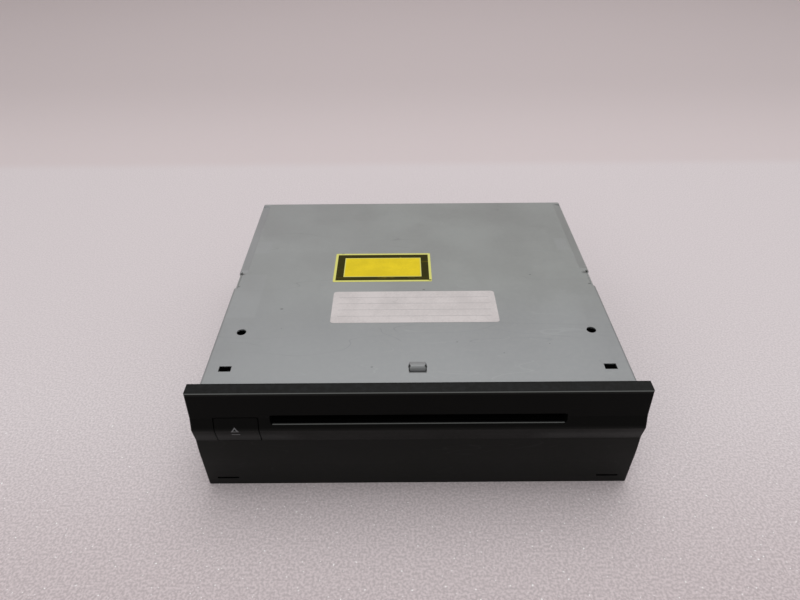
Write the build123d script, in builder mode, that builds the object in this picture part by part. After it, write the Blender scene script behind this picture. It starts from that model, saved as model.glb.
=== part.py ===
"""A slot-loading disc drive of one DIN height for a car navigation system, in millimetres.

X runs to the right, Y to the back and Z up. The origin is the middle of the footprint, on the ground.
A depth is a distance behind the top front edge of the face.
"""

from build123d import *
import math
import os

os.makedirs("parts", exist_ok=True)

# Driving dimensions of the case
BOX_WIDTH = 181.4
BOX_TOP = 55.2
BOX_FLOOR = 3.0
BOX_BACK = 165.0
REAR_STUB = 1.4
SHEET = 0.8
SEAM = 0.1
COVER_SKIRT = 12.2

# Driving dimensions of the face, which laps over the front of the case
FACE_LAP = 4.05
FACE_RISE = 2.05
FACE_WIDTH = BOX_WIDTH + 2 * FACE_LAP
FACE_HEIGHT = BOX_TOP + FACE_RISE
FACE_DEPTH = 5.9
FACE_WALL = 2.2
RIDGE_OUT = 2.6

# The disc, its way in and its place in play
DISC_RADIUS = 60.0
DISC_THICKNESS = 1.2
SLOT_PLAY = 1.5
SLOT_WIDTH = 2 * (DISC_RADIUS + SLOT_PLAY)
SLOT_LOW = 41.3
SLOT_HIGH = 45.5
SPINDLE_DEPTH = 88.0
SEAT_Z = 39.2
HUB_RADIUS = 7.4

# Eject button
BUTTON_WIDTH = 18.2
BUTTON_INSET = 19.05
BUTTON_MIDDLE = BUTTON_INSET - FACE_WIDTH / 2
BUTTON_LOW = 30.6
BUTTON_HIGH = 44.1
BUTTON_GAP = 0.4
BUTTON_REST_GAP = 0.1

# Main board
BOARD_Z = 10.0
BOARD_THICKNESS = 1.6
BOARD_MARGIN = 6.7
BOARD_WIDTH = BOX_WIDTH - 2 * BOARD_MARGIN
BOARD_FRONT = 12.0
BOARD_BACK = BOX_BACK - 5.0

# Loader
DECK_ROOM = 6.5
DECK_WIDTH = SLOT_WIDTH + 2 * DECK_ROOM
DECK_SHEET = 1.0
DECK_Z = 30.0
DECK_WALL_TOP = 49.0
DECK_FRONT = 26.0
DECK_BACK = 158.0
ROLLER_DEPTH = 19.0
ROLLER_Z = 39.1
ROLLER_RADIUS = 4.0
ROLLER_WAIST = 3.4
SHAFT_RADIUS = 1.25
ARM_REACH = 20.0
CLAMP_PIVOT_DEPTH = 150.0
CLAMP_PIVOT_Z = 51.5
CLAMP_RAISE = 6.0
SLIDER_TRAVEL = 12.0
ROLLER_DROP = 4.6
LENS_RADIUS = 23.5
ROD_Z = 35.6
SCREW_Z = 35.2

# Gear train
MODULE = 0.5
PRESSURE_ANGLE = 18.0
BACKLASH = 0.78
ROLLER_TEETH = 16
IDLER_TEETH = 18
SMALL_TEETH = 12
LARGE_TEETH = 28
WORM_TEETH = 32
WORM_RADIUS = 3.2

# Clearances
RUNNING = 0.05
PRESS = 0.01
CASE_PLAY = 0.6
CUT_THROUGH = 4.0

# Places worked out from the driving dimensions
total_depth = RIDGE_OUT + BOX_BACK + REAR_STUB
face_y = -total_depth / 2 + RIDGE_OUT
box_half = BOX_WIDTH / 2
face_half = FACE_WIDTH / 2
slot_middle = (SLOT_LOW + SLOT_HIGH) / 2
pan_half = box_half - SHEET - SEAM / 2
pan_inner = pan_half - SHEET
cover_under = BOX_TOP - SHEET
pan_top = cover_under - SHEET
floor_top = BOX_FLOOR + SHEET
wall_depth = FACE_DEPTH + SEAM
wall_back = wall_depth + SHEET
rear_depth = BOX_BACK - 2 * SHEET - SEAM
board_top = BOARD_Z + BOARD_THICKNESS
deck_half = DECK_WIDTH / 2
deck_inner = deck_half - DECK_SHEET
deck_top = DECK_Z + DECK_SHEET
plate_z = DECK_WALL_TOP + RUNNING
plate_top = plate_z + SHEET


def back(depth):
    """The Y of a place that lies this far behind the top front edge of the face."""
    return face_y + depth


def between(first, last):
    """A low and high Y, from two depths behind the face."""
    return back(first), back(last)


def upright(depth):
    """A plane that faces the front, at a depth; extruding by a negative amount goes backwards."""
    return Plane.XZ.offset(-back(depth))


def level(height):
    """A level plane at a height above the ground."""
    return Plane.XY.offset(height)


def sideways(x):
    """A plane whose own axes are Y and Z, at a place along X."""
    return Plane.YZ.offset(x)


def block(xs, ys, zs, mode=Mode.ADD):
    """Adds or cuts a block, given its low and high value along each axis."""
    sizes = [high - low for low, high in (xs, ys, zs)]
    centre = [(high + low) / 2 for low, high in (xs, ys, zs)]
    with Locations(tuple(centre)):
        Box(*sizes, mode=mode)


def bar(plane, places, radius, length, mode=Mode.ADD):
    """Adds or cuts round bars that start on a plane and run along its normal."""
    with BuildSketch(plane) as section:
        with Locations(*places):
            Circle(radius)
    extrude(section.sketch, amount=length, mode=mode)


def panel(plane, places, width, height, thickness, corner=0.0, mode=Mode.ADD):
    """Adds or cuts flat pieces, with rounded corners if asked, that start on a plane."""
    with BuildSketch(plane) as section:
        with Locations(*places):
            if corner > 0:
                RectangleRounded(width, height, corner)
            else:
                Rectangle(width, height)
    extrude(section.sketch, amount=thickness, mode=mode)


def channel(plane, start, end, width, length):
    """Cuts a slot with round ends that runs between two points of a plane."""
    middle = ((start[0] + end[0]) / 2, (start[1] + end[1]) / 2)
    with BuildSketch(plane) as section:
        SlotCenterPoint(middle, end, width)
    extrude(section.sketch, amount=length, mode=Mode.SUBTRACT)


def turned(plane, points):
    """Adds a solid of revolution about a plane's own Y axis, from (radius, height) points."""
    with BuildSketch(plane) as section:
        with BuildLine():
            Polyline(*points, close=True)
        make_face()
    revolve(section.sketch, axis=Axis(plane.origin, plane.y_dir))


def cross_slot(plane, places, length, width, depth):
    """Cuts a cross-shaped drive into screw heads; the depth is negative along the plane's normal."""
    panel(plane, places, length, width, depth, 0.0, Mode.SUBTRACT)
    panel(plane, places, width, length, depth, 0.0, Mode.SUBTRACT)


def gear(plane, place, teeth, thickness, phase=0.0):
    """Adds a spur gear whose teeth leave a little backlash, with a tooth at the phase angle."""
    pitch = MODULE * teeth / 2
    root = pitch - 1.25 * MODULE
    tip = pitch + MODULE
    half_tooth = math.pi * MODULE / 4 * BACKLASH
    slope = math.tan(math.radians(PRESSURE_ANGLE))
    wide = half_tooth + (pitch - root) * slope
    narrow = half_tooth - (tip - pitch) * slope
    outline = []
    for tooth in range(teeth):
        angle = math.radians(phase + 360 * tooth / teeth)
        for reach, half in ((root, -wide), (tip, -narrow), (tip, narrow), (root, wide)):
            outline.append(
                (
                    place[0] + reach * math.cos(angle) - half * math.sin(angle),
                    place[1] + reach * math.sin(angle) + half * math.cos(angle),
                )
            )
    with BuildSketch(plane) as section:
        with BuildLine():
            Polyline(*outline, close=True)
        make_face()
    extrude(section.sketch, amount=thickness)


def coil(centre, axis, radius, wire, pitch, height):
    """Adds an open coil spring that starts at a point and climbs along a direction."""
    with BuildLine() as winding:
        turns = Helix(pitch=pitch, height=height, radius=radius, center=centre, direction=axis)
    with BuildSketch(Plane(origin=turns @ 0, z_dir=turns % 0)) as section:
        Circle(wire)
    sweep(section.sketch, path=winding.line, is_frenet=True)


def finish(builder, name):
    """Labels a finished piece and writes its file."""
    builder.part.label = name
    export_step(builder.part, f"parts/{name}.step")


# The face's side profile, as heights and how far each stands out in front of the top edge
PROFILE_LOW = (14.5, 0.8)
PROFILE_BELLY = (24.0, 1.2)
PROFILE_STEP = (30.6, 1.0)
PROFILE_SHOULDER = (35.0, 2.0)
PROFILE_RIDGE = (38.1, RIDGE_OUT)
PROFILE_BROW = (44.0, 0.9)


def face_outline(inset=0.0, rear=FACE_DEPTH):
    """Draws the face's side profile into the current sketch: its Y and Z, from a plane across X."""

    def front(profile_point):
        height, reach = profile_point
        return back(inset - reach), height

    with BuildLine() as outline:
        Polyline((back(rear), inset), (back(inset), inset), front(PROFILE_LOW))
        ThreePointArc(front(PROFILE_LOW), front(PROFILE_BELLY), front(PROFILE_STEP))
        Polyline(
            front(PROFILE_STEP),
            front(PROFILE_SHOULDER),
            front(PROFILE_RIDGE),
            front(PROFILE_BROW),
            (back(inset), FACE_HEIGHT - inset),
            (back(rear), FACE_HEIGHT - inset),
            (back(rear), inset),
        )
    make_face(outline.edges())


def lip_outline():
    """Draws what the rounding takes off the slot's lower front edge, on a plane across X."""
    lean = math.atan2(PROFILE_RIDGE[1] - PROFILE_BROW[1], PROFILE_BROW[0] - PROFILE_RIDGE[0])
    corner_y = back(math.tan(lean) * (SLOT_LOW - PROFILE_RIDGE[0]) - PROFILE_RIDGE[1])
    half_angle = (math.pi / 2 + lean) / 2
    along = LIP_RADIUS / math.tan(half_angle)
    inwards = LIP_RADIUS / math.sin(half_angle) - LIP_RADIUS
    on_floor = (corner_y + along, SLOT_LOW)
    on_slope = (corner_y - along * math.sin(lean), SLOT_LOW - along * math.cos(lean))
    middle = (corner_y + inwards * math.cos(half_angle), SLOT_LOW - inwards * math.sin(half_angle))
    with BuildLine() as outline:
        ThreePointArc(on_floor, middle, on_slope)
        Polyline(on_slope, (corner_y, SLOT_LOW), on_floor)
    make_face(outline.edges())


# The faceplate: a moulded shell, open at the back, with a collar behind the slot and four snap arms
KEY_SLOT_INSET = 9.45
KEY_SLOT_SIZE = (9.8, 1.2)
KEY_SLOT_Z = 4.7
SLOT_CORNER = 0.9
LIP_RADIUS = 1.5
COLLAR = 1.2
FELT_DEPTH = 4.7
FELT_LAP_SIDE = 1.3
FELT_LAP = 2.4
ARM_WIDTH = 4.5
ARM_ROOT = 1.5
TOP_ARM_INSET = 8.75
TOP_ARM_HEIGHT = 2.2
LOW_ARM_X = 63.0
LOW_ARM_HEIGHT = 1.8
ARM_CLEAR = 0.4
HOOK_DEPTH = 17.0
HOOK_LENGTH = 2.7
HOOK_SHORT = 0.15
top_arm_x = box_half - TOP_ARM_INSET
hook_back = HOOK_DEPTH + HOOK_LENGTH / 2
felt_half = SLOT_WIDTH / 2 + FELT_LAP_SIDE
felt_low = SLOT_LOW - FELT_LAP
felt_high = SLOT_HIGH + FELT_LAP
window_low = BUTTON_LOW - BUTTON_REST_GAP
window_high = BUTTON_HIGH + BUTTON_GAP
window_width = BUTTON_WIDTH + 2 * BUTTON_GAP
window_place = [(BUTTON_MIDDLE, (window_low + window_high) / 2)]

with BuildPart() as faceplate:
    with BuildSketch(sideways(-face_half)):
        face_outline()
    extrude(amount=FACE_WIDTH)
    ends = faceplate.faces().filter_by(Axis.X)
    rims = ends.edges().filter_by(lambda edge: edge.center().Y < back(1.0))
    chamfer(rims, 0.5)
    top_front = faceplate.edges().filter_by(Axis.X).group_by(Axis.Z)[-1].sort_by(Axis.Y)[0]
    fillet(top_front, 0.6)
    with BuildSketch(sideways(-face_half + FACE_WALL)):
        face_outline(FACE_WALL, FACE_DEPTH + 1)
    extrude(amount=FACE_WIDTH - 2 * FACE_WALL, mode=Mode.SUBTRACT)
    collar_x = (-felt_half - COLLAR, felt_half + COLLAR)
    block(collar_x, between(0.6, FACE_DEPTH), (felt_low - COLLAR, felt_high + COLLAR))
    in_front = upright(-CUT_THROUGH)
    behind_face = FACE_DEPTH + CUT_THROUGH
    slot_size = (SLOT_WIDTH, SLOT_HIGH - SLOT_LOW)
    panel(in_front, [(0, slot_middle)], *slot_size, -2 * behind_face, SLOT_CORNER, Mode.SUBTRACT)
    felt_bed = between(FELT_DEPTH, behind_face)
    block((-felt_half, felt_half), felt_bed, (felt_low, felt_high), Mode.SUBTRACT)
    with BuildSketch(sideways(SLOT_CORNER - SLOT_WIDTH / 2)) as lip:
        lip_outline()
    extrude(lip.sketch, amount=SLOT_WIDTH - 2 * SLOT_CORNER, mode=Mode.SUBTRACT)
    panel(in_front, window_place, window_width, window_high - window_low, -behind_face, 0.8, Mode.SUBTRACT)
    for side in (-1, 1):
        key_place = [(side * (face_half - KEY_SLOT_INSET), KEY_SLOT_Z)]
        panel(in_front, key_place, *KEY_SLOT_SIZE, -behind_face, 0.5, Mode.SUBTRACT)
        hook = between(HOOK_DEPTH - HOOK_LENGTH / 2, hook_back)
        top_x = (side * top_arm_x - ARM_WIDTH / 2, side * top_arm_x + ARM_WIDTH / 2)
        top_arm_high = cover_under - ARM_CLEAR
        block(top_x, between(ARM_ROOT, hook_back), (top_arm_high - TOP_ARM_HEIGHT, top_arm_high))
        block(top_x, hook, (top_arm_high, BOX_TOP - HOOK_SHORT))
        low_x = (side * LOW_ARM_X - ARM_WIDTH / 2, side * LOW_ARM_X + ARM_WIDTH / 2)
        low_arm_low = floor_top + ARM_CLEAR
        block(low_x, between(ARM_ROOT, hook_back), (low_arm_low, low_arm_low + LOW_ARM_HEIGHT))
        block(low_x, hook, (BOX_FLOOR + HOOK_SHORT, low_arm_low))
finish(faceplate, "faceplate")

# Two felt strips that close the slot against dust, seated in the collar
FELT_THICKNESS = 1.0
FELT_PART = 0.3

with BuildPart() as dust_felts:
    felt_y = between(FELT_DEPTH + 0.02, FELT_DEPTH + 0.02 + FELT_THICKNESS)
    felt_x = (-felt_half + RUNNING, felt_half - RUNNING)
    block(felt_x, felt_y, (felt_low + RUNNING, slot_middle - FELT_PART))
    block(felt_x, felt_y, (slot_middle + FELT_PART, felt_high - RUNNING))
finish(dust_felts, "dust_felts")

# The eject button: a cap that follows the face's profile, a flange behind the window and a stem
FLANGE_DEPTH = 2.2
FLANGE_THICKNESS = 1.0
FLANGE_LAP = 1.5
STEM_RADIUS = 2.0
STEM_END = 4.4
STEM_Z = 38.3
SYMBOL_DEEP = 0.35
SYMBOL_LEFT = 0.8
TRIANGLE_WIDTH = 3.6
TRIANGLE_LOW = 37.4
TRIANGLE_HIGH = 39.9
STROKE = 0.5
DASH_Z = 35.5
DASH_HEIGHT = 0.42
symbol_x = BUTTON_MIDDLE - SYMBOL_LEFT
flange_back = FLANGE_DEPTH + FLANGE_THICKNESS


def eject_symbol():
    """Draws an open triangle over a dash into the current sketch, seen from the front."""
    rise = TRIANGLE_HIGH - TRIANGLE_LOW
    slant = math.hypot(TRIANGLE_WIDTH / 2, rise)
    inner_radius = TRIANGLE_WIDTH * rise / (TRIANGLE_WIDTH + 2 * slant)
    shrink = 1 - STROKE / inner_radius
    centre_z = TRIANGLE_LOW + inner_radius
    for scale, mode in ((1.0, Mode.ADD), (shrink, Mode.SUBTRACT)):
        half = scale * TRIANGLE_WIDTH / 2
        base = centre_z - scale * inner_radius
        tip = centre_z + scale * (rise - inner_radius)
        with BuildLine() as triangle:
            Polyline((symbol_x - half, base), (symbol_x + half, base), (symbol_x, tip), close=True)
        make_face(triangle.edges(), mode=mode)
    with Locations((symbol_x, DASH_Z)):
        Rectangle(TRIANGLE_WIDTH, DASH_HEIGHT)


def symbol_layer():
    """Cuts the current part down to the thin layer just behind the face's surface."""
    with BuildSketch(sideways(-face_half)) as inner:
        face_outline(SYMBOL_DEEP, FACE_DEPTH + 4)
    extrude(inner.sketch, amount=FACE_WIDTH, mode=Mode.SUBTRACT)
    with BuildSketch(sideways(-face_half)) as outer:
        face_outline(0.0)
    extrude(outer.sketch, amount=FACE_WIDTH, mode=Mode.INTERSECT)


with BuildPart() as button_symbol:
    with BuildSketch(upright(-4)):
        eject_symbol()
    extrude(amount=-6)
    symbol_layer()
finish(button_symbol, "button_symbol")

with BuildPart() as eject_button:
    with BuildSketch(sideways(BUTTON_MIDDLE - BUTTON_WIDTH / 2)):
        face_outline(0.0, flange_back)
    extrude(amount=BUTTON_WIDTH)
    button_middle_z = (BUTTON_LOW + BUTTON_HIGH) / 2
    button_height = BUTTON_HIGH - BUTTON_LOW
    with BuildSketch(upright(-4)):
        with Locations((BUTTON_MIDDLE, button_middle_z)):
            RectangleRounded(BUTTON_WIDTH, button_height, 0.7)
    extrude(amount=-10, mode=Mode.INTERSECT)
    flange_width = BUTTON_WIDTH + 2 * FLANGE_LAP
    flange_height = button_height + 2 * FLANGE_LAP
    flange_place = [(BUTTON_MIDDLE, button_middle_z)]
    panel(upright(FLANGE_DEPTH), flange_place, flange_width, flange_height, -FLANGE_THICKNESS, 0.8)
    bar(upright(flange_back), [(BUTTON_MIDDLE, STEM_Z)], STEM_RADIUS, flange_back - STEM_END)
    add(button_symbol.part, mode=Mode.SUBTRACT)
finish(eject_button, "eject_button")

# The switch behind the button, on a small board that two lugs of the front wall carry
SWITCH_DEPTH = 7.0
SWITCH_HEIGHT = 2.0
SWITCH_SIDE = 6.0
PLUNGER_DEPTH = 5.4
PLUNGER_RADIUS = 1.5
SMALL_BOARD_WIDTH = 20.0
SMALL_BOARD_HEIGHT = 11.0
board_depth = SWITCH_DEPTH + SWITCH_HEIGHT + 0.02

with BuildPart() as switch_plunger:
    bar(upright(PLUNGER_DEPTH), [(BUTTON_MIDDLE, STEM_Z)], PLUNGER_RADIUS, PLUNGER_DEPTH - SWITCH_DEPTH - 0.5)
finish(switch_plunger, "switch_plunger")

with BuildPart() as tact_switch:
    switch_place = [(BUTTON_MIDDLE, STEM_Z)]
    panel(upright(SWITCH_DEPTH), switch_place, SWITCH_SIDE, SWITCH_SIDE, -SWITCH_HEIGHT, 0.6)
    bar(upright(SWITCH_DEPTH), switch_place, PLUNGER_RADIUS + RUNNING, -0.9, Mode.SUBTRACT)
    leg_places = [(BUTTON_MIDDLE + sx * 3.4, STEM_Z + sz * 2.2) for sx in (-1, 1) for sz in (-1, 1)]
    panel(upright(SWITCH_DEPTH + 1.2), leg_places, 1.2, 0.7, -(SWITCH_HEIGHT - 1.2))
finish(tact_switch, "tact_switch")

with BuildPart() as button_board:
    board_place = [(BUTTON_MIDDLE, STEM_Z)]
    panel(upright(board_depth), board_place, SMALL_BOARD_WIDTH, SMALL_BOARD_HEIGHT, -1.0, 0.8)
    panel(upright(board_depth + 1.0), [(BUTTON_MIDDLE - 5, STEM_Z)], 5.0, 3.0, -2.0)
finish(button_board, "button_board")

with BuildPart() as button_spring:
    coil_start = (BUTTON_MIDDLE, back(wall_depth - 0.3), STEM_Z)
    coil(coil_start, (0, -1, 0), 3.6, 0.25, 0.65, 1.0)
finish(button_spring, "button_spring")

# The chassis pan: floor, sides and front wall in one folded sheet
NOTCH_FRONT = 76.0
NOTCH_BACK = 90.0
SIDE_HOLE_DEPTHS = (60.0, 120.0)
SIDE_HOLE_Z = 20.0
FOOT_X = 68.0
FOOT_DEPTH = 152.0
FOOT_RADIUS = 7.0
VENT = (3.0, 14.0)
WALL_RIM_Z = 50.5
CLIP_BELOW = 0.6
CASE_SCREW_DROP = 6.7
REAR_SCREW_X = 52.0
BOTTOM_SCREW_X = 60.0
case_screw_z = BOX_TOP - CASE_SCREW_DROP
case_screw_depths = (30.0, BOX_BACK - 25.0)
rear_flange_depth = BOX_BACK - 5.5
SCREW_HOLE = 1.3
SCREW_SHANK = 1.25
SCREW_HEAD = 2.6
SCREW_HEAD_HEIGHT = 1.2

with BuildPart() as chassis_pan:
    outer_x = (-pan_half, pan_half)
    inner_x = (-pan_inner, pan_inner)
    block(outer_x, between(wall_depth, rear_depth), (BOX_FLOOR, pan_top))
    block(inner_x, between(wall_back, rear_depth + 1), (floor_top, pan_top + 1), Mode.SUBTRACT)
    block(outer_x, between(wall_depth - 1, wall_back), (WALL_RIM_Z, pan_top + 1), Mode.SUBTRACT)
    long_edges = chassis_pan.edges().filter_by(Axis.Y).group_by(Axis.Z)[0]
    fillet(long_edges, 0.75)
    # The window behind the slot, the hole behind the button and the gaps for the snap arms
    block((-felt_half - 3, felt_half + 3), between(5, 8), (felt_low - 2.2, felt_high + 2.2), Mode.SUBTRACT)
    bar(upright(5), [(BUTTON_MIDDLE, STEM_Z)], 3.0, -3, Mode.SUBTRACT)
    for side in (-1, 1):
        low_x = (side * LOW_ARM_X - ARM_WIDTH / 2 - 0.4, side * LOW_ARM_X + ARM_WIDTH / 2 + 0.4)
        block(low_x, between(5, 8), (floor_top, floor_top + 2.8), Mode.SUBTRACT)
        hook = between(HOOK_DEPTH - HOOK_LENGTH / 2 - 0.3, HOOK_DEPTH + HOOK_LENGTH / 2 + 0.3)
        block(low_x, hook, (BOX_FLOOR - 1, floor_top + 1), Mode.SUBTRACT)
        # Lugs for the button's board are on the left only
        if side < 0:
            for lug_x in (-1, 1):
                lug_middle = BUTTON_MIDDLE + lug_x * (SMALL_BOARD_WIDTH / 2 - 1.5)
                lug = (lug_middle - 1.2, lug_middle + 1.2)
                block(lug, between(wall_back, board_depth), (STEM_Z - 3, STEM_Z + 3))
        # The clip, an upstand of the wall, that stands in the cover's side notch
        clip_x = sorted((side * pan_inner, side * pan_half))
        block(clip_x, between(NOTCH_FRONT + 0.4, NOTCH_BACK - 1.4), (pan_top, BOX_TOP - CLIP_BELOW))
        # Threaded side holes with a pressed collar inside
        collar_places = [(back(depth), SIDE_HOLE_Z) for depth in SIDE_HOLE_DEPTHS]
        bar(sideways(side * (pan_inner + 0.1)), collar_places, 4.0, -side * 1.6)
        bar(sideways(side * (pan_half + 1)), collar_places, 2.1, -side * 5, Mode.SUBTRACT)
        screw_places = [(back(depth), case_screw_z) for depth in case_screw_depths]
        bar(sideways(side * (pan_half + 1)), screw_places, SCREW_HOLE, -side * 4, Mode.SUBTRACT)
        # Pressed feet
        with BuildSketch(level(BOX_FLOOR + 0.1)) as foot:
            with Locations((side * FOOT_X, back(FOOT_DEPTH))):
                Circle(FOOT_RADIUS)
        extrude(foot.sketch, amount=-(BOX_FLOOR + 0.1), taper=25)
        with BuildSketch(level(floor_top)) as dimple:
            with Locations((side * FOOT_X, back(FOOT_DEPTH))):
                Circle(FOOT_RADIUS - 0.5)
        extrude(dimple.sketch, amount=-(floor_top - SHEET), taper=25, mode=Mode.SUBTRACT)
        bottom_place = [(side * BOTTOM_SCREW_X, back(rear_flange_depth))]
        bar(level(BOX_FLOOR - 1), bottom_place, SCREW_HOLE + 0.3, 3, Mode.SUBTRACT)
    with BuildSketch(level(BOX_FLOOR - 1)) as vents:
        with GridLocations(12, 30, 7, 3):
            RectangleRounded(*VENT, 1.4)
    extrude(vents.sketch, amount=3, mode=Mode.SUBTRACT)
finish(chassis_pan, "chassis_pan")

# The top cover: a folded lid with a short skirt all round but the front
BEND_RADIUS = 1.2
ROUND_HOLE_INSET = 10.9
ROUND_HOLE_DEPTH = 41.4
ROUND_HOLE_RADIUS = 2.15
WINDOW_DEPTH = 17.0
WINDOW_SIZE = (5.2, 3.4)
NOTCH_WIDTH = 2.0
NOTCH_HEIGHT = 3.8
SLOPE_WIDTH = 4.5
SLOPE_DROP = 0.9
SLOPE_FRONT = 92.0
slope_back = BOX_BACK - 3.0
LANCE_WIDTH = 7.5
LANCE_FRONT = 14.2
LANCE_BACK = 19.9
LANCE_CORNER = 0.8
TONGUE_WIDTH = 6.9
TONGUE_ROOT = 20.5
cover_front = FACE_DEPTH + 0.3
skirt_low = BOX_TOP - COVER_SKIRT
cover_inner = box_half - SHEET

with BuildPart() as top_cover:
    block((-box_half, box_half), between(cover_front, BOX_BACK), (skirt_low, BOX_TOP))
    upper_edges = top_cover.edges().filter_by(Axis.Y).group_by(Axis.Z)[-1]
    fillet(upper_edges, BEND_RADIUS)
    rear_top = top_cover.edges().filter_by(Axis.X).group_by(Axis.Z)[-1].sort_by(Axis.Y)[-1]
    fillet(rear_top, BEND_RADIUS - 0.2)
    inner_back = BOX_BACK - SHEET
    hollow_x = (-cover_inner, cover_inner)
    block(hollow_x, between(cover_front - 1, inner_back), (skirt_low - 1, cover_under), Mode.SUBTRACT)
    for side in (-1, 1):
        corner_x = sorted((side * (box_half - 2.2), side * (box_half + 1)))
        block(corner_x, between(inner_back - 0.01, BOX_BACK + 1), (skirt_low - 1, cover_under), Mode.SUBTRACT)
        # The side notch in the skirt and the top
        notch_x = sorted((side * (box_half - NOTCH_WIDTH), side * (box_half + 1)))
        notch_z = (BOX_TOP - NOTCH_HEIGHT, BOX_TOP + 1)
        block(notch_x, between(NOTCH_FRONT, NOTCH_BACK), notch_z, Mode.SUBTRACT)
        # The strip along the edge that slopes down to the bend
        slope_start = box_half - SLOPE_WIDTH
        under_drop = SLOPE_DROP * (cover_inner - slope_start) / SLOPE_WIDTH
        with BuildSketch(upright(SLOPE_FRONT)) as under_wedge:
            with BuildLine():
                Polyline(
                    (side * slope_start, cover_under),
                    (side * cover_inner, cover_under - under_drop),
                    (side * cover_inner, cover_under),
                    close=True,
                )
            make_face()
        extrude(under_wedge.sketch, amount=SLOPE_FRONT - slope_back)
        with BuildSketch(upright(SLOPE_FRONT)) as upper_wedge:
            with BuildLine():
                Polyline(
                    (side * slope_start, BOX_TOP),
                    (side * (box_half + SLOPE_WIDTH), BOX_TOP - 2 * SLOPE_DROP),
                    (side * (box_half + SLOPE_WIDTH), BOX_TOP),
                    close=True,
                )
            make_face()
        extrude(upper_wedge.sketch, amount=SLOPE_FRONT - slope_back, mode=Mode.SUBTRACT)
        screw_places = [(back(depth), case_screw_z) for depth in case_screw_depths]
        bar(sideways(side * (box_half + 1)), screw_places, SCREW_HOLE + 0.3, -side * 3, Mode.SUBTRACT)
    round_hole_x = box_half - ROUND_HOLE_INSET
    hole_places = [(side * round_hole_x, back(ROUND_HOLE_DEPTH)) for side in (-1, 1)]
    bar(level(cover_under - 1), hole_places, ROUND_HOLE_RADIUS, 3, Mode.SUBTRACT)
    window_places = [(side * top_arm_x, back(WINDOW_DEPTH)) for side in (-1, 1)]
    panel(level(cover_under - 1), window_places, *WINDOW_SIZE, 3, 0.0, Mode.SUBTRACT)
    rear_places = [(side * REAR_SCREW_X, case_screw_z + 1) for side in (-1, 1)]
    bar(upright(inner_back - 1), rear_places, SCREW_HOLE + 0.3, -4, Mode.SUBTRACT)
    # The lanced tab near the front edge: a tongue that rises a little, then dips into its hole
    lance_place = [(0, back((LANCE_FRONT + LANCE_BACK) / 2))]
    lance_length = LANCE_BACK - LANCE_FRONT
    panel(level(cover_under - 1), lance_place, LANCE_WIDTH, lance_length, 3, LANCE_CORNER, Mode.SUBTRACT)

    def tongue_point(depth, height):
        return back(depth), BOX_TOP + height

    root_top = tongue_point(TONGUE_ROOT, 0)
    crest = tongue_point(17.6, 0.45)
    tip_top = tongue_point(15.3, -1.3)
    tip_under = tongue_point(15.95, -1.6)
    crest_under = tongue_point(17.7, -0.25)
    with BuildSketch(sideways(-TONGUE_WIDTH / 2)) as tongue:
        with BuildLine():
            ThreePointArc(root_top, tongue_point(19.0, 0.35), crest)
            ThreePointArc(crest, tongue_point(16.2, -0.1), tip_top)
            Line(tip_top, tip_under)
            ThreePointArc(tip_under, tongue_point(16.7, -0.62), crest_under)
            Polyline(
                crest_under,
                tongue_point(LANCE_BACK, -SHEET),
                tongue_point(TONGUE_ROOT, -SHEET),
                root_top,
            )
        make_face()
    extrude(tongue.sketch, amount=TONGUE_WIDTH)
finish(top_cover, "top_cover")

# The rear panel, with its foot on the floor and openings for the sockets
SOCKET_X = -40.0
SOCKET_WIDTH = 40.0
SOCKET_HEIGHT = 16.0
AERIAL_X = 36.0
AERIAL_SIDE = 12.0
LOUVRE = (2.4, 12.0)
LOUVRE_PITCH = 6.0
LOUVRE_Z = 38.0
REAR_FLANGE_HALF = 74.0
socket_z = board_top + RUNNING + SOCKET_HEIGHT / 2
aerial_z = board_top + RUNNING + AERIAL_SIDE / 2

with BuildPart() as rear_panel:
    rear_x = (SEAM - pan_inner, pan_inner - SEAM)
    rear_low = floor_top + SEAM
    block(rear_x, between(rear_depth, rear_depth + SHEET), (rear_low, pan_top - SEAM))
    flange_y = between(rear_flange_depth - 3.5, rear_depth)
    block((-REAR_FLANGE_HALF, REAR_FLANGE_HALF), flange_y, (rear_low, rear_low + SHEET))
    cut_from = upright(rear_depth - 1)
    harness_hole = (SOCKET_WIDTH + CASE_PLAY, SOCKET_HEIGHT + CASE_PLAY)
    aerial_hole = (AERIAL_SIDE + CASE_PLAY, AERIAL_SIDE + CASE_PLAY)
    panel(cut_from, [(SOCKET_X, socket_z)], *harness_hole, -CUT_THROUGH, 0.5, Mode.SUBTRACT)
    panel(cut_from, [(AERIAL_X, aerial_z)], *aerial_hole, -CUT_THROUGH, 0.5, Mode.SUBTRACT)
    louvre_places = [(column * LOUVRE_PITCH, LOUVRE_Z) for column in range(-10, 11)]
    panel(cut_from, louvre_places, *LOUVRE, -CUT_THROUGH, 1.1, Mode.SUBTRACT)
    bar(cut_from, rear_places, SCREW_HOLE, -CUT_THROUGH, Mode.SUBTRACT)
    foot_places = [(side * BOTTOM_SCREW_X, back(rear_flange_depth)) for side in (-1, 1)]
    bar(level(BOX_FLOOR), foot_places, SCREW_HOLE, 3, Mode.SUBTRACT)
finish(rear_panel, "rear_panel")

# Standoffs, the main board and what is soldered to it
POST_INSET = 10.0
POST_DEPTHS = (44.0, 140.0)
STANDOFF_INSET = 6.0
post_x = deck_half - POST_INSET
standoff_x = BOARD_WIDTH / 2 - STANDOFF_INSET
standoff_depths = (BOARD_FRONT + 8.0, 88.0, BOARD_BACK - STANDOFF_INSET)
standoff_places = [(side * standoff_x, back(depth)) for side in (-1, 1) for depth in standoff_depths]
post_places = [(side * post_x, back(depth)) for side in (-1, 1) for depth in POST_DEPTHS]

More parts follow.
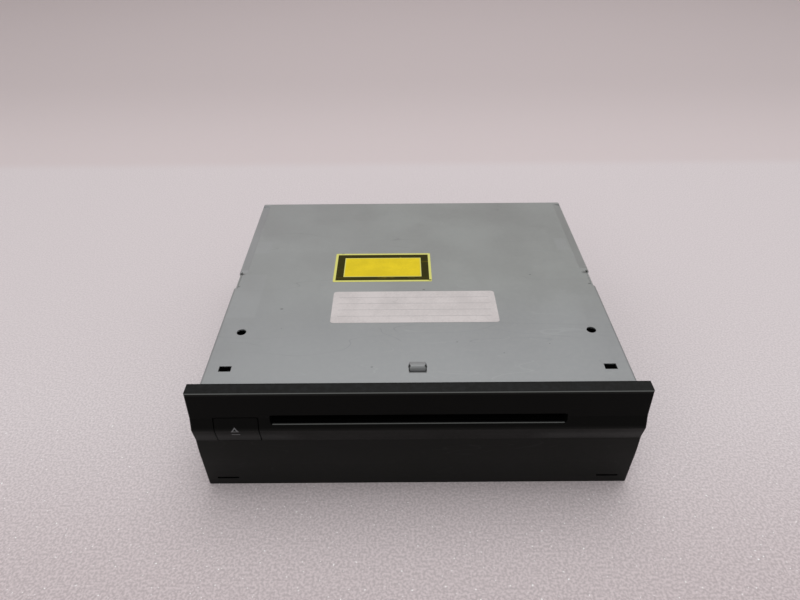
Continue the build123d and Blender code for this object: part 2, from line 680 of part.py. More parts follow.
with BuildPart() as board_standoffs:
    with BuildSketch(level(floor_top)):
        with Locations(*standoff_places):
            RegularPolygon(3.0, 6, major_radius=False)
            Circle(SCREW_HOLE, mode=Mode.SUBTRACT)
    extrude(amount=BOARD_Z - floor_top)
finish(board_standoffs, "board_standoffs")

with BuildPart() as main_board:
    with BuildSketch(level(BOARD_Z)):
        with Locations((0, back((BOARD_FRONT + BOARD_BACK) / 2))):
            RectangleRounded(BOARD_WIDTH, BOARD_BACK - BOARD_FRONT, 2.0)
        with Locations(*standoff_places):
            Circle(1.7, mode=Mode.SUBTRACT)
        with Locations(*post_places):
            Circle(6.0, mode=Mode.SUBTRACT)
        with Locations((-BOARD_WIDTH / 2, back(100)), (BOARD_WIDTH / 2, back(44))):
            Rectangle(12, 6, mode=Mode.SUBTRACT)
    extrude(amount=BOARD_THICKNESS)
finish(main_board, "main_board")

CHIPS = (
    (-28.0, 62.0, 28.0, 28.0, 2.4),
    (18.0, 58.0, 20.0, 20.0, 2.0),
    (-30.0, 100.0, 18.0, 12.0, 1.4),
    (-6.0, 100.0, 18.0, 12.0, 1.4),
    (30.0, 92.0, 12.0, 12.0, 2.4),
    (0.0, 126.0, 12.0, 9.0, 1.8),
    (60.0, 22.0, 14.0, 9.0, 2.2),
)

with BuildPart() as chips:
    for x, depth, width, length, height in CHIPS:
        panel(level(board_top), [(x, back(depth))], width, length, height, 0.6)
        panel(level(board_top), [(x, back(depth))], width + 2.4, length - 3, 0.3)
finish(chips, "chips")

CAPACITOR_PLACES = ((74.0, 66.0), (74.0, 78.0), (62.0, 72.0), (74.0, 112.0), (62.0, 118.0), (-74.0, 122.0))

with BuildPart() as capacitors:
    for x, depth in CAPACITOR_PLACES:
        can_plane = Plane(origin=(x, back(depth), board_top), x_dir=(1, 0, 0), z_dir=(0, -1, 0))
        can = [(0, 0), (4, 0), (4, 1.2), (3.7, 1.6), (4, 2.0), (4, 10), (3.5, 10.5), (0, 10.5)]
        turned(can_plane, can)
finish(capacitors, "capacitors")

CONNECTOR_PLACES = ((44.0, 124.0, 20.0), (-60.0, 72.0, 12.0), (-70.0, 44.0, 8.0))

with BuildPart() as board_connectors:
    for x, depth, width in CONNECTOR_PLACES:
        panel(level(board_top), [(x, back(depth))], width, 5.0, 5.5)
        mouth_x = (x - width / 2 + 1, x + width / 2 - 1)
        mouth_z = (board_top + 2, board_top + 6)
        block(mouth_x, between(depth - 0.6, depth + 0.6), mouth_z, Mode.SUBTRACT)
finish(board_connectors, "board_connectors")

# The flat cable from the board's connector up to the loader
CABLE_WIDTH = 16.0
CABLE_THICKNESS = 0.3
cable_x = CONNECTOR_PLACES[0][0]
cable_depth = CONNECTOR_PLACES[0][1]

with BuildPart() as flat_cable:
    with BuildLine() as cable_path:
        FilletPolyline(
            (cable_x, back(cable_depth), board_top + 2.1),
            (cable_x, back(cable_depth), 24.0),
            (cable_x, back(cable_depth - 12), DECK_Z - CABLE_THICKNESS / 2 - RUNNING),
            (cable_x, back(cable_depth - 30), DECK_Z - CABLE_THICKNESS / 2 - RUNNING),
            radius=4.0,
        )
    with BuildSketch(level(board_top + 2.1)) as cable_section:
        with Locations((cable_x, back(cable_depth))):
            Rectangle(CABLE_WIDTH, CABLE_THICKNESS)
    sweep(cable_section.sketch, path=cable_path.line)
finish(flat_cable, "flat_cable")

# The rear sockets: a wide one for the harness and a small square one for the aerial
SOCKET_LENGTH = 15.0
SOCKET_HOLLOW = 10.0
SOCKET_WALL = 1.6
PIN_SHORT = 2.0
PIN_SIDE = 0.64
PIN_ROWS = (socket_z - 3.1, socket_z + 3.1)
PIN_PITCH = 3.5
PIN_COLUMNS = 10
AERIAL_RADIUS = 4.6
AERIAL_PIN = 0.5
socket_front = BOX_BACK - SOCKET_LENGTH
cavity_front = BOX_BACK - SOCKET_HOLLOW
socket_back = BOX_BACK + REAR_STUB
cavity = (SOCKET_WIDTH - 2 * SOCKET_WALL, SOCKET_HEIGHT - 2 * SOCKET_WALL)
pin_length = socket_front - (BOX_BACK - PIN_SHORT)

with BuildPart() as rear_connector:
    harness_place = [(SOCKET_X, socket_z)]
    body_length = socket_front - socket_back
    cavity_length = cavity_front - socket_back - 1
    panel(upright(socket_front), harness_place, SOCKET_WIDTH, SOCKET_HEIGHT, body_length, 0.6)
    panel(upright(cavity_front), harness_place, *cavity, cavity_length, 0.4, Mode.SUBTRACT)
    first_pin = SOCKET_X - (PIN_COLUMNS - 1) * PIN_PITCH / 2
    pin_places = [(first_pin + column * PIN_PITCH, z) for column in range(PIN_COLUMNS) for z in PIN_ROWS]
    pin_hole = PIN_SIDE + 2 * PRESS
    panel(upright(socket_front - 1), pin_places, pin_hole, pin_hole, -8, 0.0, Mode.SUBTRACT)
finish(rear_connector, "rear_connector")

with BuildPart() as aerial_socket:
    aerial_place = [(AERIAL_X, aerial_z)]
    panel(upright(socket_front), aerial_place, AERIAL_SIDE, AERIAL_SIDE, body_length, 0.8)
    bar(upright(cavity_front), aerial_place, AERIAL_RADIUS, cavity_length, Mode.SUBTRACT)
    bar(upright(socket_front - 1), aerial_place, AERIAL_PIN + 2 * PRESS, -8, Mode.SUBTRACT)
finish(aerial_socket, "aerial_socket")

with BuildPart() as socket_pins:
    panel(upright(socket_front), pin_places, PIN_SIDE, PIN_SIDE, pin_length)
    bar(upright(socket_front), aerial_place, AERIAL_PIN, pin_length)
finish(socket_pins, "socket_pins")

# The pan-head screws: four in the skirt, two in the rear, two in the floor and six in the board
def pan_screws(plane, places, outwards, length):
    """Adds cross-headed screws whose heads sit on a plane; outwards is 1 or -1 along its normal."""
    bar(plane, places, SCREW_HEAD, outwards * SCREW_HEAD_HEIGHT)
    bar(plane, places, SCREW_SHANK, -outwards * length)
    head_top = plane.offset(outwards * SCREW_HEAD_HEIGHT)
    cross_slot(head_top, places, 2.6, 0.6, -outwards * 0.7)


with BuildPart() as machine_screws:
    for side in (-1, 1):
        side_places = [(back(depth), case_screw_z) for depth in case_screw_depths]
        pan_screws(sideways(side * (box_half + RUNNING)), side_places, side, 4.5)
    pan_screws(upright(BOX_BACK + RUNNING), rear_places, -1, 4.5)
    pan_screws(level(BOX_FLOOR - RUNNING), foot_places, -1, 4.5)
    pan_screws(level(board_top + RUNNING), standoff_places, 1, 5.0)
finish(machine_screws, "machine_screws")

# Two blank labels on the cover
LABEL_THICKNESS = 0.08
YELLOW_LABEL = (-16.3, 93.9, 50.4, 26.4)
WHITE_LABEL = (-0.5, 59.8, 79.0, 24.6)

with BuildPart() as yellow_label:
    x, depth, width, length = YELLOW_LABEL
    panel(level(BOX_TOP + 0.01), [(x, back(depth))], width, length, LABEL_THICKNESS, 0.6)
finish(yellow_label, "yellow_label")

with BuildPart() as white_label:
    x, depth, width, length = WHITE_LABEL
    panel(level(BOX_TOP + 0.01), [(x, back(depth))], width, length, LABEL_THICKNESS, 1.6)
finish(white_label, "white_label")

# The loader's suspension: posts on the floor, rubber dampers, shoulder screws and springs
POST_SEAT = 20.0
POST_RADIUS = 5.0
SEAT_RADIUS = 8.6
DAMPER_RADIUS = 6.0
DAMPER_BORE = 1.7
NECK_RADIUS = 3.9

with BuildPart() as damper_posts:
    bar(level(floor_top), post_places, POST_RADIUS, POST_SEAT - floor_top)
    bar(level(POST_SEAT - 1.2), post_places, SEAT_RADIUS, 1.2)
    bar(level(POST_SEAT), post_places, SCREW_SHANK + 0.2, -8, Mode.SUBTRACT)
finish(damper_posts, "damper_posts")

with BuildPart() as dampers:
    for x, y in post_places:
        damper_plane = Plane(origin=(x, y, POST_SEAT + 0.02), x_dir=(1, 0, 0), z_dir=(0, -1, 0))
        neck_low = DECK_Z - POST_SEAT - RUNNING - 0.02
        neck_high = neck_low + DECK_SHEET + 2 * RUNNING
        turned(
            damper_plane,
            [
                (DAMPER_BORE, 0),
                (DAMPER_RADIUS, 0),
                (DAMPER_RADIUS, 2.2),
                (DAMPER_RADIUS - 1.4, 4.0),
                (DAMPER_RADIUS - 1.4, 6.0),
                (DAMPER_RADIUS, 7.8),
                (DAMPER_RADIUS, neck_low),
                (NECK_RADIUS, neck_low),
                (NECK_RADIUS, neck_high),
                (NECK_RADIUS + 1.6, neck_high),
                (NECK_RADIUS + 1.2, neck_high + 1.4),
                (DAMPER_BORE, neck_high + 1.4),
            ],
        )
finish(dampers, "dampers")

with BuildPart() as damper_screws:
    bar(level(POST_SEAT - 6), post_places, SCREW_SHANK, DECK_Z + DECK_SHEET + 1.6 - POST_SEAT + 6)
    bar(level(DECK_Z + DECK_SHEET + 1.55), post_places, 3.6, 1.6)
    screw_top = DECK_Z + DECK_SHEET + 3.15
    cross_slot(level(screw_top), post_places, 3.0, 0.7, -0.9)
finish(damper_screws, "damper_screws")

with BuildPart() as suspension_springs:
    for x, y in post_places:
        coil((x, y, POST_SEAT + 0.55), (0, 0, 1), 7.4, 0.4, 1.75, DECK_Z - POST_SEAT - 1.1)
finish(suspension_springs, "suspension_springs")

# The gear centres, on a plane across X
layer_a = (-deck_half - 3.5, 2.0)
layer_b = (-deck_half - 6.0, 1.8)
layer_c = (-deck_half - 9.0, 2.2)
roller_place = (back(ROLLER_DEPTH), ROLLER_Z)
arm_place = (back(ROLLER_DEPTH + ARM_REACH), ROLLER_Z)
idler_place = (roller_place[0], ROLLER_Z + MODULE * (ROLLER_TEETH + IDLER_TEETH) / 2)
reduction_reach = MODULE * (IDLER_TEETH + SMALL_TEETH) / 2
reduction_drop = 2.6
reduction_angle = -math.asin(reduction_drop / reduction_reach)
reduction_place = (
    idler_place[0] + reduction_reach * math.cos(reduction_angle),
    idler_place[1] - reduction_drop,
)
wheel_reach = MODULE * (LARGE_TEETH + SMALL_TEETH) / 2
wheel_angle = math.radians(-20)
wheel_place = (
    reduction_place[0] + wheel_reach * math.cos(wheel_angle),
    reduction_place[1] + wheel_reach * math.sin(wheel_angle),
)
wheel_tip = MODULE * (WORM_TEETH + 2) / 2
worm_z = wheel_place[1] - wheel_tip - WORM_RADIUS - 0.15
worm_x = layer_c[0] + layer_c[1] / 2


def facing_phase(angle, teeth, has_tooth):
    """The phase that puts a tooth, or a gap, at an angle of the wheel, in degrees."""
    if has_tooth:
        return angle
    return angle + 180 / teeth


# The loader deck: floor, side walls with forward horns, and the motor's bracket
WALL_FRONT = 31.0
HORN_LOW = 42.0
CAM_STUD_DEPTHS = (60.0, 95.0)
BAR_Z = 38.5
WING_T = 30.0
WING_GAP = 4.5
DECK_OPENING_X = (-30.0, 36.0)
DECK_OPENING_DEPTHS = (74.0, 156.0)
BRACKET_REACH = 7.1
MOTOR_FRONT = 45.0
MOTOR_RADIUS = 7.0
MOTOR_LENGTH = 22.0
TRAVERSE_X = 42.0
TRAVERSE_DEPTHS = (78.0, 150.0)
TAB_DEPTHS = (36.0, 146.0)
tab_x = deck_inner - 3.5
tab_places = [(side * tab_x, back(depth)) for side in (-1, 1) for depth in TAB_DEPTHS]
traverse_places = [(side * TRAVERSE_X, back(depth)) for side in (-1, 1) for depth in TRAVERSE_DEPTHS]
wing_depth = CLAMP_PIVOT_DEPTH - WING_T

with BuildPart() as loader_deck:
    block((-deck_half, deck_half), between(DECK_FRONT, DECK_BACK), (DECK_Z, deck_top))
    for side in (-1, 1):
        wall_x = sorted((side * deck_inner, side * deck_half))
        block(wall_x, between(WALL_FRONT, DECK_BACK), (DECK_Z, DECK_WALL_TOP))
        block(wall_x, between(12, WALL_FRONT), (HORN_LOW, DECK_WALL_TOP))
        bar(sideways(side * (deck_half + 1)), [arm_place], SHAFT_RADIUS + RUNNING, -side * 3, Mode.SUBTRACT)
        for depth in TAB_DEPTHS:
            tab = sorted((side * (deck_inner - 6.5), side * deck_inner))
            block(tab, between(depth - 4, depth + 4), (DECK_WALL_TOP - DECK_SHEET, DECK_WALL_TOP))
    block(DECK_OPENING_X, between(*DECK_OPENING_DEPTHS), (DECK_Z - 1, deck_top + 1), Mode.SUBTRACT)
    wing_gap_y = between(wing_depth - WING_GAP, wing_depth + WING_GAP)
    block((deck_inner - 1, deck_half + 1), wing_gap_y, (HORN_LOW, DECK_WALL_TOP + 1), Mode.SUBTRACT)
    bar(level(DECK_Z - 1), post_places, NECK_RADIUS + 0.15, 3, Mode.SUBTRACT)
    bar(level(DECK_WALL_TOP - 2), tab_places, 0.9, 3, Mode.SUBTRACT)
    bar(level(DECK_Z - 1), traverse_places, 0.9, 3, Mode.SUBTRACT)
    stud_holes = [idler_place, reduction_place, wheel_place]
    bar(sideways(-deck_half - 1), stud_holes, 1.0 + PRESS, 3, Mode.SUBTRACT)
    slider_stud_places = [(back(depth), BAR_Z) for depth in CAM_STUD_DEPTHS]
    bar(sideways(deck_inner - 1), slider_stud_places, 1.2 + PRESS, 3, Mode.SUBTRACT)
    # The bracket for the loading motor, folded out of the left wall
    bracket_y = between(MOTOR_FRONT - 0.2 - DECK_SHEET, MOTOR_FRONT - 0.2)
    bracket_top = worm_z + BRACKET_REACH + 0.1
    block((worm_x - BRACKET_REACH, -deck_inner), bracket_y, (worm_z - BRACKET_REACH, bracket_top))
    block((layer_a[0], -deck_inner), bracket_y, (bracket_top, bracket_top + 3.8))
    bar(upright(MOTOR_FRONT - 2), [(worm_x, worm_z)], 3.3, -3, Mode.SUBTRACT)
finish(loader_deck, "loader_deck")

# Studs riveted into the deck's walls, for the gears on the left and the cam slider on the right
SLIDER_X = deck_half + 0.1
SLIDER_THICKNESS = 1.2

with BuildPart() as deck_studs:
    stud_ends = (layer_a[0] - 0.3, layer_b[0] - 0.6, layer_c[0] - 0.8)
    for place, end in zip(stud_holes, stud_ends):
        bar(sideways(-deck_inner), [place], 1.0, end + deck_inner)
    bar(sideways(deck_inner), slider_stud_places, 1.2, SLIDER_X + SLIDER_THICKNESS + 0.2 - deck_inner)
    bar(sideways(SLIDER_X + SLIDER_THICKNESS + 0.2), slider_stud_places, 2.8, 0.8)
finish(deck_studs, "deck_studs")

# The upper plate, with ears for the clamp arm and studs for the disc levers
PLATE_FRONT = 14.0
OPENING_HALF = 23.4
OPENING_FRONT = 64.0
OPENING_BACK = 154.0
EAR_X = 24.0
LEVER_X = DISC_RADIUS - 8.0
LEVER_DEPTH = 30.0
clamp_place = (back(CLAMP_PIVOT_DEPTH), CLAMP_PIVOT_Z)
lever_places = [(side * LEVER_X, back(LEVER_DEPTH)) for side in (-1, 1)]

with BuildPart() as upper_plate:
    block((-deck_half, deck_half), between(PLATE_FRONT, DECK_BACK), (plate_z, plate_top))
    panel(
        level(plate_z - 1),
        [(0, back((OPENING_FRONT + OPENING_BACK) / 2))],
        2 * OPENING_HALF,
        OPENING_BACK - OPENING_FRONT,
        3,
        3.0,
        Mode.SUBTRACT,
    )
    bar(level(plate_z - 1), tab_places, 1.2, 3, Mode.SUBTRACT)
    for side in (-1, 1):
        ear_x = sorted((side * EAR_X, side * (EAR_X + SHEET)))
        block(ear_x, between(CLAMP_PIVOT_DEPTH - 3, CLAMP_PIVOT_DEPTH + 3), (plate_z, CLAMP_PIVOT_Z + 1.7))
        bar(sideways(side * (EAR_X - 1)), [clamp_place], 1.0 + PRESS, side * 3, Mode.SUBTRACT)
        panel(level(plate_z - 1), [(side * 44, back(95))], 20, 60, 3, 4.0, Mode.SUBTRACT)
    bar(level(plate_z), lever_places, 1.2, 3.2)
finish(upper_plate, "upper_plate")

with BuildPart() as mechanism_screws:
    bar(level(plate_top + RUNNING), tab_places, 1.9, 1.2)
    bar(level(plate_top + RUNNING), tab_places, 0.85, -3.2)
    bar(level(36.2), traverse_places, 1.9, 1.2)
    bar(level(36.2), traverse_places, 0.85, -6.4)
    for height, places in ((plate_top + RUNNING + 1.2, tab_places), (37.4, traverse_places)):
        cross_slot(level(height), places, 2.2, 0.5, -0.6)
finish(mechanism_screws, "mechanism_screws")

# The disc guide above the roller, whose ribs touch only the disc's rim
GUIDE_LOW = 46.5
RIB_LOW = 43.9
RIB_LENGTH = 17.0
ROLLER_REACH = 2.0
roller_end = DISC_RADIUS + ROLLER_REACH

with BuildPart() as disc_guide:
    block((-roller_end, roller_end), between(PLATE_FRONT + 0.4, 27.5), (GUIDE_LOW, plate_z - 0.02))
    for side in (-1, 1):
        with BuildSketch(sideways(side * (roller_end - 1 - RIB_LENGTH))) as rib:
            with BuildLine():
                Polyline(
                    (back(14.4), GUIDE_LOW),
                    (back(17), RIB_LOW),
                    (back(23), RIB_LOW),
                    (back(26), GUIDE_LOW),
                    close=True,
                )
            make_face()
        extrude(rib.sketch, amount=side * RIB_LENGTH)
finish(disc_guide, "disc_guide")

# The roller arm, its bushings, the roller on its shaft and the gear at its end
ARM_GAP = 0.8
EAR_THICKNESS = 1.0
STUB_LENGTH = 3.2
CAM_PIN_REACH = 12.0
ear_outer = deck_inner - ARM_GAP
ear_inner = ear_outer - EAR_THICKNESS
cam_pin_place = (arm_place[0] - CAM_PIN_REACH, ROLLER_Z)

with BuildPart() as roller_arm:
    block((-ear_outer, ear_outer), between(25.5, 33), (ROLLER_Z - 3.1, ROLLER_Z - 2.3))
    for side in (-1, 1):
        with BuildSketch(sideways(side * ear_inner)) as ear:
            SlotCenterPoint(
                ((roller_place[0] + arm_place[0]) / 2, ROLLER_Z),
                arm_place,
                6.4,
            )
            with Locations(roller_place):
                Circle(2.2 + PRESS, mode=Mode.SUBTRACT)
        extrude(ear.sketch, amount=side * (ear_outer - ear_inner))
        bar(sideways(side * (ear_inner - STUB_LENGTH)), [arm_place], 1.0, side * STUB_LENGTH)
        bar(sideways(side * ear_inner), [arm_place], SHAFT_RADIUS, side * (deck_half - 0.05 - ear_inner))
    bar(sideways(ear_outer), [cam_pin_place], 1.0, SLIDER_X + SLIDER_THICKNESS + 0.1 - ear_outer)
finish(roller_arm, "roller_arm")

with BuildPart() as roller_bushings:
    bush_start = ear_inner - 1.0
    for side in (-1, 1):
        bar(sideways(side * bush_start), [roller_place], 2.2, side * 2.5)
        bar(sideways(side * bush_start), [roller_place], 3.0, side * 0.9)
        bore_plane = sideways(side * (bush_start - 0.2))
        bar(bore_plane, [roller_place], SHAFT_RADIUS + RUNNING, side * CUT_THROUGH, Mode.SUBTRACT)
finish(roller_bushings, "roller_bushings")

with BuildPart() as feed_roller:
    roller_axis = Plane(origin=(0, roller_place[0], ROLLER_Z), x_dir=(0, 0, 1), z_dir=(0, 1, 0))
    for side in (-1, 1):
        turned(
            roller_axis,
            [
                (SHAFT_RADIUS + PRESS, side * 6),
                (ROLLER_WAIST, side * 6),
                (ROLLER_RADIUS, side * (roller_end - 4)),
                (ROLLER_RADIUS, side * roller_end),
                (SHAFT_RADIUS + PRESS, side * roller_end),
            ],
        )
finish(feed_roller, "feed_roller")

with BuildPart() as roller_shaft:
    shaft_left = layer_a[0] - 0.4
    shaft_right = deck_half - 0.4
    bar(sideways(shaft_left), [roller_place], SHAFT_RADIUS, shaft_right - shaft_left)
finish(roller_shaft, "roller_shaft")

roller_phase = 90.0
with BuildPart() as roller_gear:
    gear(sideways(layer_a[0]), roller_place, ROLLER_TEETH, layer_a[1], roller_phase)
    bar(sideways(layer_a[0]), [roller_place], 2.3, 4.6)
    bar(sideways(layer_a[0] - 1), [roller_place], SHAFT_RADIUS + PRESS, 8, Mode.SUBTRACT)
finish(roller_gear, "roller_gear")

idler_phase = facing_phase(-90, IDLER_TEETH, False)
with BuildPart() as idler_gear:
    gear(sideways(layer_a[0]), idler_place, IDLER_TEETH, layer_a[1], idler_phase)
    bar(sideways(layer_a[0]), [idler_place], 2.0, 3.4)
    bar(sideways(layer_a[0] - 1), [idler_place], 1.0 + RUNNING, 8, Mode.SUBTRACT)
finish(idler_gear, "idler_gear")

# The small wheel's tooth or gap matches what the idler shows at the line of centres
toward_reduction = math.degrees(reduction_angle)
idler_pitch = 360 / IDLER_TEETH
small_pitch = 360 / SMALL_TEETH
idler_offset = (toward_reduction - idler_phase) / idler_pitch
small_phase = toward_reduction + 180 + (idler_offset + 0.5) * small_pitch

with BuildPart() as reduction_gear:
    gear(sideways(layer_a[0]), reduction_place, SMALL_TEETH, layer_a[1], small_phase)
    gear(sideways(layer_b[0]), reduction_place, LARGE_TEETH, layer_b[1])
    bar(sideways(layer_b[0]), [reduction_place], 2.2, 5.8)
    bar(sideways(layer_b[0] - 1), [reduction_place], 1.0 + RUNNING, 8, Mode.SUBTRACT)
finish(reduction_gear, "reduction_gear")

toward_wheel = math.degrees(wheel_angle)
large_pitch = 360 / LARGE_TEETH
large_offset = toward_wheel / large_pitch
pinion_phase = toward_wheel + 180 + (large_offset + 0.5) * small_pitch

with BuildPart() as worm_wheel:
    gear(sideways(layer_b[0]), wheel_place, SMALL_TEETH, layer_b[1], pinion_phase)
    gear(sideways(layer_c[0]), wheel_place, WORM_TEETH, layer_c[1])
    bar(sideways(layer_c[0]), [wheel_place], 2.0, 8.8)
    bar(sideways(layer_c[0] - 1), [wheel_place], 1.0 + RUNNING, 11, Mode.SUBTRACT)
finish(worm_wheel, "worm_wheel")

# The worm, with rings in place of its thread, and the motor that turns it
WORM_FRONT = 28.0
WORM_BACK = 42.0
RING_PITCH = 1.6

with BuildPart() as motor_worm:
    worm_plane = Plane(origin=(worm_x, back(WORM_FRONT), worm_z), x_dir=(1, 0, 0), z_dir=(0, 0, -1))
    profile = [(1.0, 0), (WORM_RADIUS - 1.0, 0)]
    for ring in range(int((WORM_BACK - WORM_FRONT) / RING_PITCH)):
        start = ring * RING_PITCH
        profile.append((WORM_RADIUS - 1.0, start + 0.3))
        profile.append((WORM_RADIUS, start + 0.65))
        profile.append((WORM_RADIUS, start + 0.95))
        profile.append((WORM_RADIUS - 1.0, start + 1.3))
    profile.append((WORM_RADIUS - 1.0, WORM_BACK - WORM_FRONT))
    profile.append((1.0, WORM_BACK - WORM_FRONT))
    turned(worm_plane, profile)
    bar(upright(WORM_FRONT - 0.5), [(worm_x, worm_z)], 1.0, WORM_FRONT - 0.5 - MOTOR_FRONT)
finish(motor_worm, "motor_worm")

with BuildPart() as loading_motor:
    bar(upright(MOTOR_FRONT), [(worm_x, worm_z)], MOTOR_RADIUS, -MOTOR_LENGTH)
    bar(upright(MOTOR_FRONT), [(worm_x, worm_z)], 3.0, 1.6)
    bar(upright(MOTOR_FRONT - 3), [(worm_x, worm_z)], 1.0 + RUNNING, -4, Mode.SUBTRACT)
    bar(upright(MOTOR_FRONT + MOTOR_LENGTH), [(worm_x, worm_z)], 2.4, -1.4)
    can_rim = loading_motor.edges().filter_by(GeomType.CIRCLE).group_by(SortBy.RADIUS)[-1]
    fillet(can_rim.sort_by(Axis.Y)[-1], 0.8)
    terminals = [(worm_x - 3.6, worm_z), (worm_x + 3.6, worm_z)]
    panel(upright(MOTOR_FRONT + MOTOR_LENGTH), terminals, 1.6, 0.5, -3.0)
finish(loading_motor, "loading_motor")

# The clamp arm, raised in its own tilted plane; along it, t runs forward from the pivot
tilt = math.radians(CLAMP_RAISE)
arm_low = 44.2 - CLAMP_PIVOT_Z
arm_high = arm_low + SHEET
spindle_t = CLAMP_PIVOT_DEPTH - SPINDLE_DEPTH
arm_plane = Plane(
    origin=(0, clamp_place[0], CLAMP_PIVOT_Z),
    x_dir=(1, 0, 0),
    z_dir=(0, math.sin(tilt), math.cos(tilt)),
)
arm_across = Plane(origin=arm_plane.origin, x_dir=arm_plane.y_dir, z_dir=(1, 0, 0))
NECK = 6.6
ARM_TIP = spindle_t + 13.0
ARM_HALF = 16.0
EAR_HALF = 22.8
wing_start = ARM_HALF - 0.1
wing_end = deck_inner - 0.1

with BuildPart() as clamp_arm:
    with BuildSketch(arm_plane.offset(arm_low)):
        with BuildLine():
            Polyline(
                (-EAR_HALF, 3),
                (EAR_HALF, 3),
                (EAR_HALF, -12),
                (ARM_HALF, -22),
                (ARM_HALF, -ARM_TIP + 8),
                (8, -ARM_TIP),
                (-8, -ARM_TIP),
                (-ARM_HALF, -ARM_TIP + 8),
                (-ARM_HALF, -22),
                (-EAR_HALF, -12),
                close=True,
            )
        make_face()
        with Locations((0, -spindle_t)):
            Circle(NECK + 0.4, mode=Mode.SUBTRACT)
        with Locations((0, -30)):
            RectangleRounded(16, 14, 2, mode=Mode.SUBTRACT)
        with Locations(((wing_start + wing_end) / 2, -WING_T)):
            Rectangle(wing_end - wing_start, 4)
    extrude(amount=SHEET)
    for side in (-1, 1):
        rib_x = sorted((side * (ARM_HALF - SHEET), side * ARM_HALF))
        with BuildSketch(arm_across.offset(rib_x[0])) as rib:
            with Locations((-(20 + 58) / 2, arm_high + 1.0)):
                Rectangle(38, 2.0)
        extrude(rib.sketch, amount=rib_x[1] - rib_x[0])
        ear_x = sorted((side * (EAR_HALF - SHEET), side * EAR_HALF))
        with BuildSketch(arm_across.offset(ear_x[0])) as ear:
            with Locations((0, (arm_low + 1.8) / 2)):
                Rectangle(5, 1.8 - arm_low)
            Circle(1.0 + RUNNING, mode=Mode.SUBTRACT)
        extrude(ear.sketch, amount=ear_x[1] - ear_x[0])
    cam_t = arm_across.offset(deck_inner - 1.1)
    with BuildSketch(cam_t) as follower:
        with Locations((-WING_T, (arm_low + arm_high) / 2)):
            Circle(1.0)
    extrude(follower.sketch, amount=SLIDER_X + SLIDER_THICKNESS + 0.1 - deck_inner + 1.1)
finish(clamp_arm, "clamp_arm")

with BuildPart() as clamp_arm_pin:
    bar(sideways(-EAR_X - SHEET - 0.6), [clamp_place], 1.0, 2 * (EAR_X + SHEET + 0.6))
finish(clamp_arm_pin, "clamp_arm_pin")

# The clamper: a loose puck that the arm carries and that turns with the disc
PUCK_RADIUS = 12.0
puck_low = SEAT_Z + DISC_THICKNESS - CLAMP_PIVOT_Z
puck_axis = Plane(
    origin=arm_plane.from_local_coords(Vector(0, -spindle_t, 0)),
    x_dir=(1, 0, 0),
    z_dir=-arm_plane.y_dir,
)

with BuildPart() as clamper:
    turned(
        puck_axis,
        [
            (0, puck_low + 1.3),
            (HUB_RADIUS + 0.5, puck_low + 1.3),
            (HUB_RADIUS + 0.9, puck_low),
            (PUCK_RADIUS, puck_low),
            (PUCK_RADIUS, puck_low + 2.2),
            (PUCK_RADIUS - 0.4, puck_low + 2.6),
            (NECK, puck_low + 2.6),
            (NECK, arm_high + 0.25),
            (NECK + 1.4, arm_high + 0.25),
            (NECK + 1.4, arm_high + 1.2),
            (0, arm_high + 1.2),
        ],
    )
finish(clamper, "clamper")

# Torsion springs: two at the roller arm, two at the disc levers and one at the clamp arm
with BuildPart() as torsion_springs:
    for side in (-1, 1):
        coil((side * (ear_inner - 2.6), arm_place[0], ROLLER_Z), (side, 0, 0), 1.7, 0.25, 0.6, 1.9)
        coil((side * LEVER_X, back(LEVER_DEPTH), plate_top + 1.75), (0, 0, 1), 1.8, 0.2, 0.5, 1.0)
    coil((10, clamp_place[0], CLAMP_PIVOT_Z), (1, 0, 0), 1.7, 0.3, 0.75, 9.0)
finish(torsion_springs, "torsion_springs")

# The cam slider along the deck's right wall
slot_play = 0.35
pin_drop_angle = math.asin(ROLLER_DROP / ARM_REACH)
pin_end = (
    arm_place[0] - CAM_PIN_REACH * math.cos(pin_drop_angle) - SLIDER_TRAVEL,
    ROLLER_Z - CAM_PIN_REACH * math.sin(pin_drop_angle),
)
follower_local = (arm_low + arm_high) / 2
follower_start = (
    clamp_place[0] - WING_T * math.cos(tilt) + follower_local * math.sin(tilt),
    CLAMP_PIVOT_Z + follower_local * math.cos(tilt) + WING_T * math.sin(tilt),
)
follower_end = (
    clamp_place[0] - WING_T - SLIDER_TRAVEL,
    CLAMP_PIVOT_Z + follower_local,
)

with BuildPart() as cam_slider:
    with BuildSketch(sideways(SLIDER_X)):
        with BuildLine():
            Polyline(
                (pin_end[0] - 3.5, pin_end[1] - 3.2),
                (cam_pin_place[0] + 5, pin_end[1] - 3.2),
                (cam_pin_place[0] + 9, BAR_Z - 3),
                (follower_start[0] + 4, BAR_Z - 3),
                (follower_start[0] + 4, follower_start[1] + 3),
                (follower_end[0] - 4, follower_start[1] + 3),
                (follower_end[0] - 4, BAR_Z + 3),
                (cam_pin_place[0] + 9, BAR_Z + 3),
                (cam_pin_place[0] + 5, ROLLER_Z + 3.4),
                (pin_end[0] - 3.5, ROLLER_Z + 3.4),
                close=True,
            )
        make_face()
        fillet(vertices(), 0.9)
    extrude(amount=SLIDER_THICKNESS)
    cut_plane = sideways(SLIDER_X - 1)
    channel(cut_plane, cam_pin_place, pin_end, 2 * (1.0 + slot_play), 4)
    channel(cut_plane, follower_start, follower_end, 2 * (1.0 + slot_play), 4)
    for y, z in slider_stud_places:
        channel(cut_plane, (y - SLIDER_TRAVEL, z), (y, z), 2 * (1.2 + RUNNING), 4)
finish(cam_slider, "cam_slider")

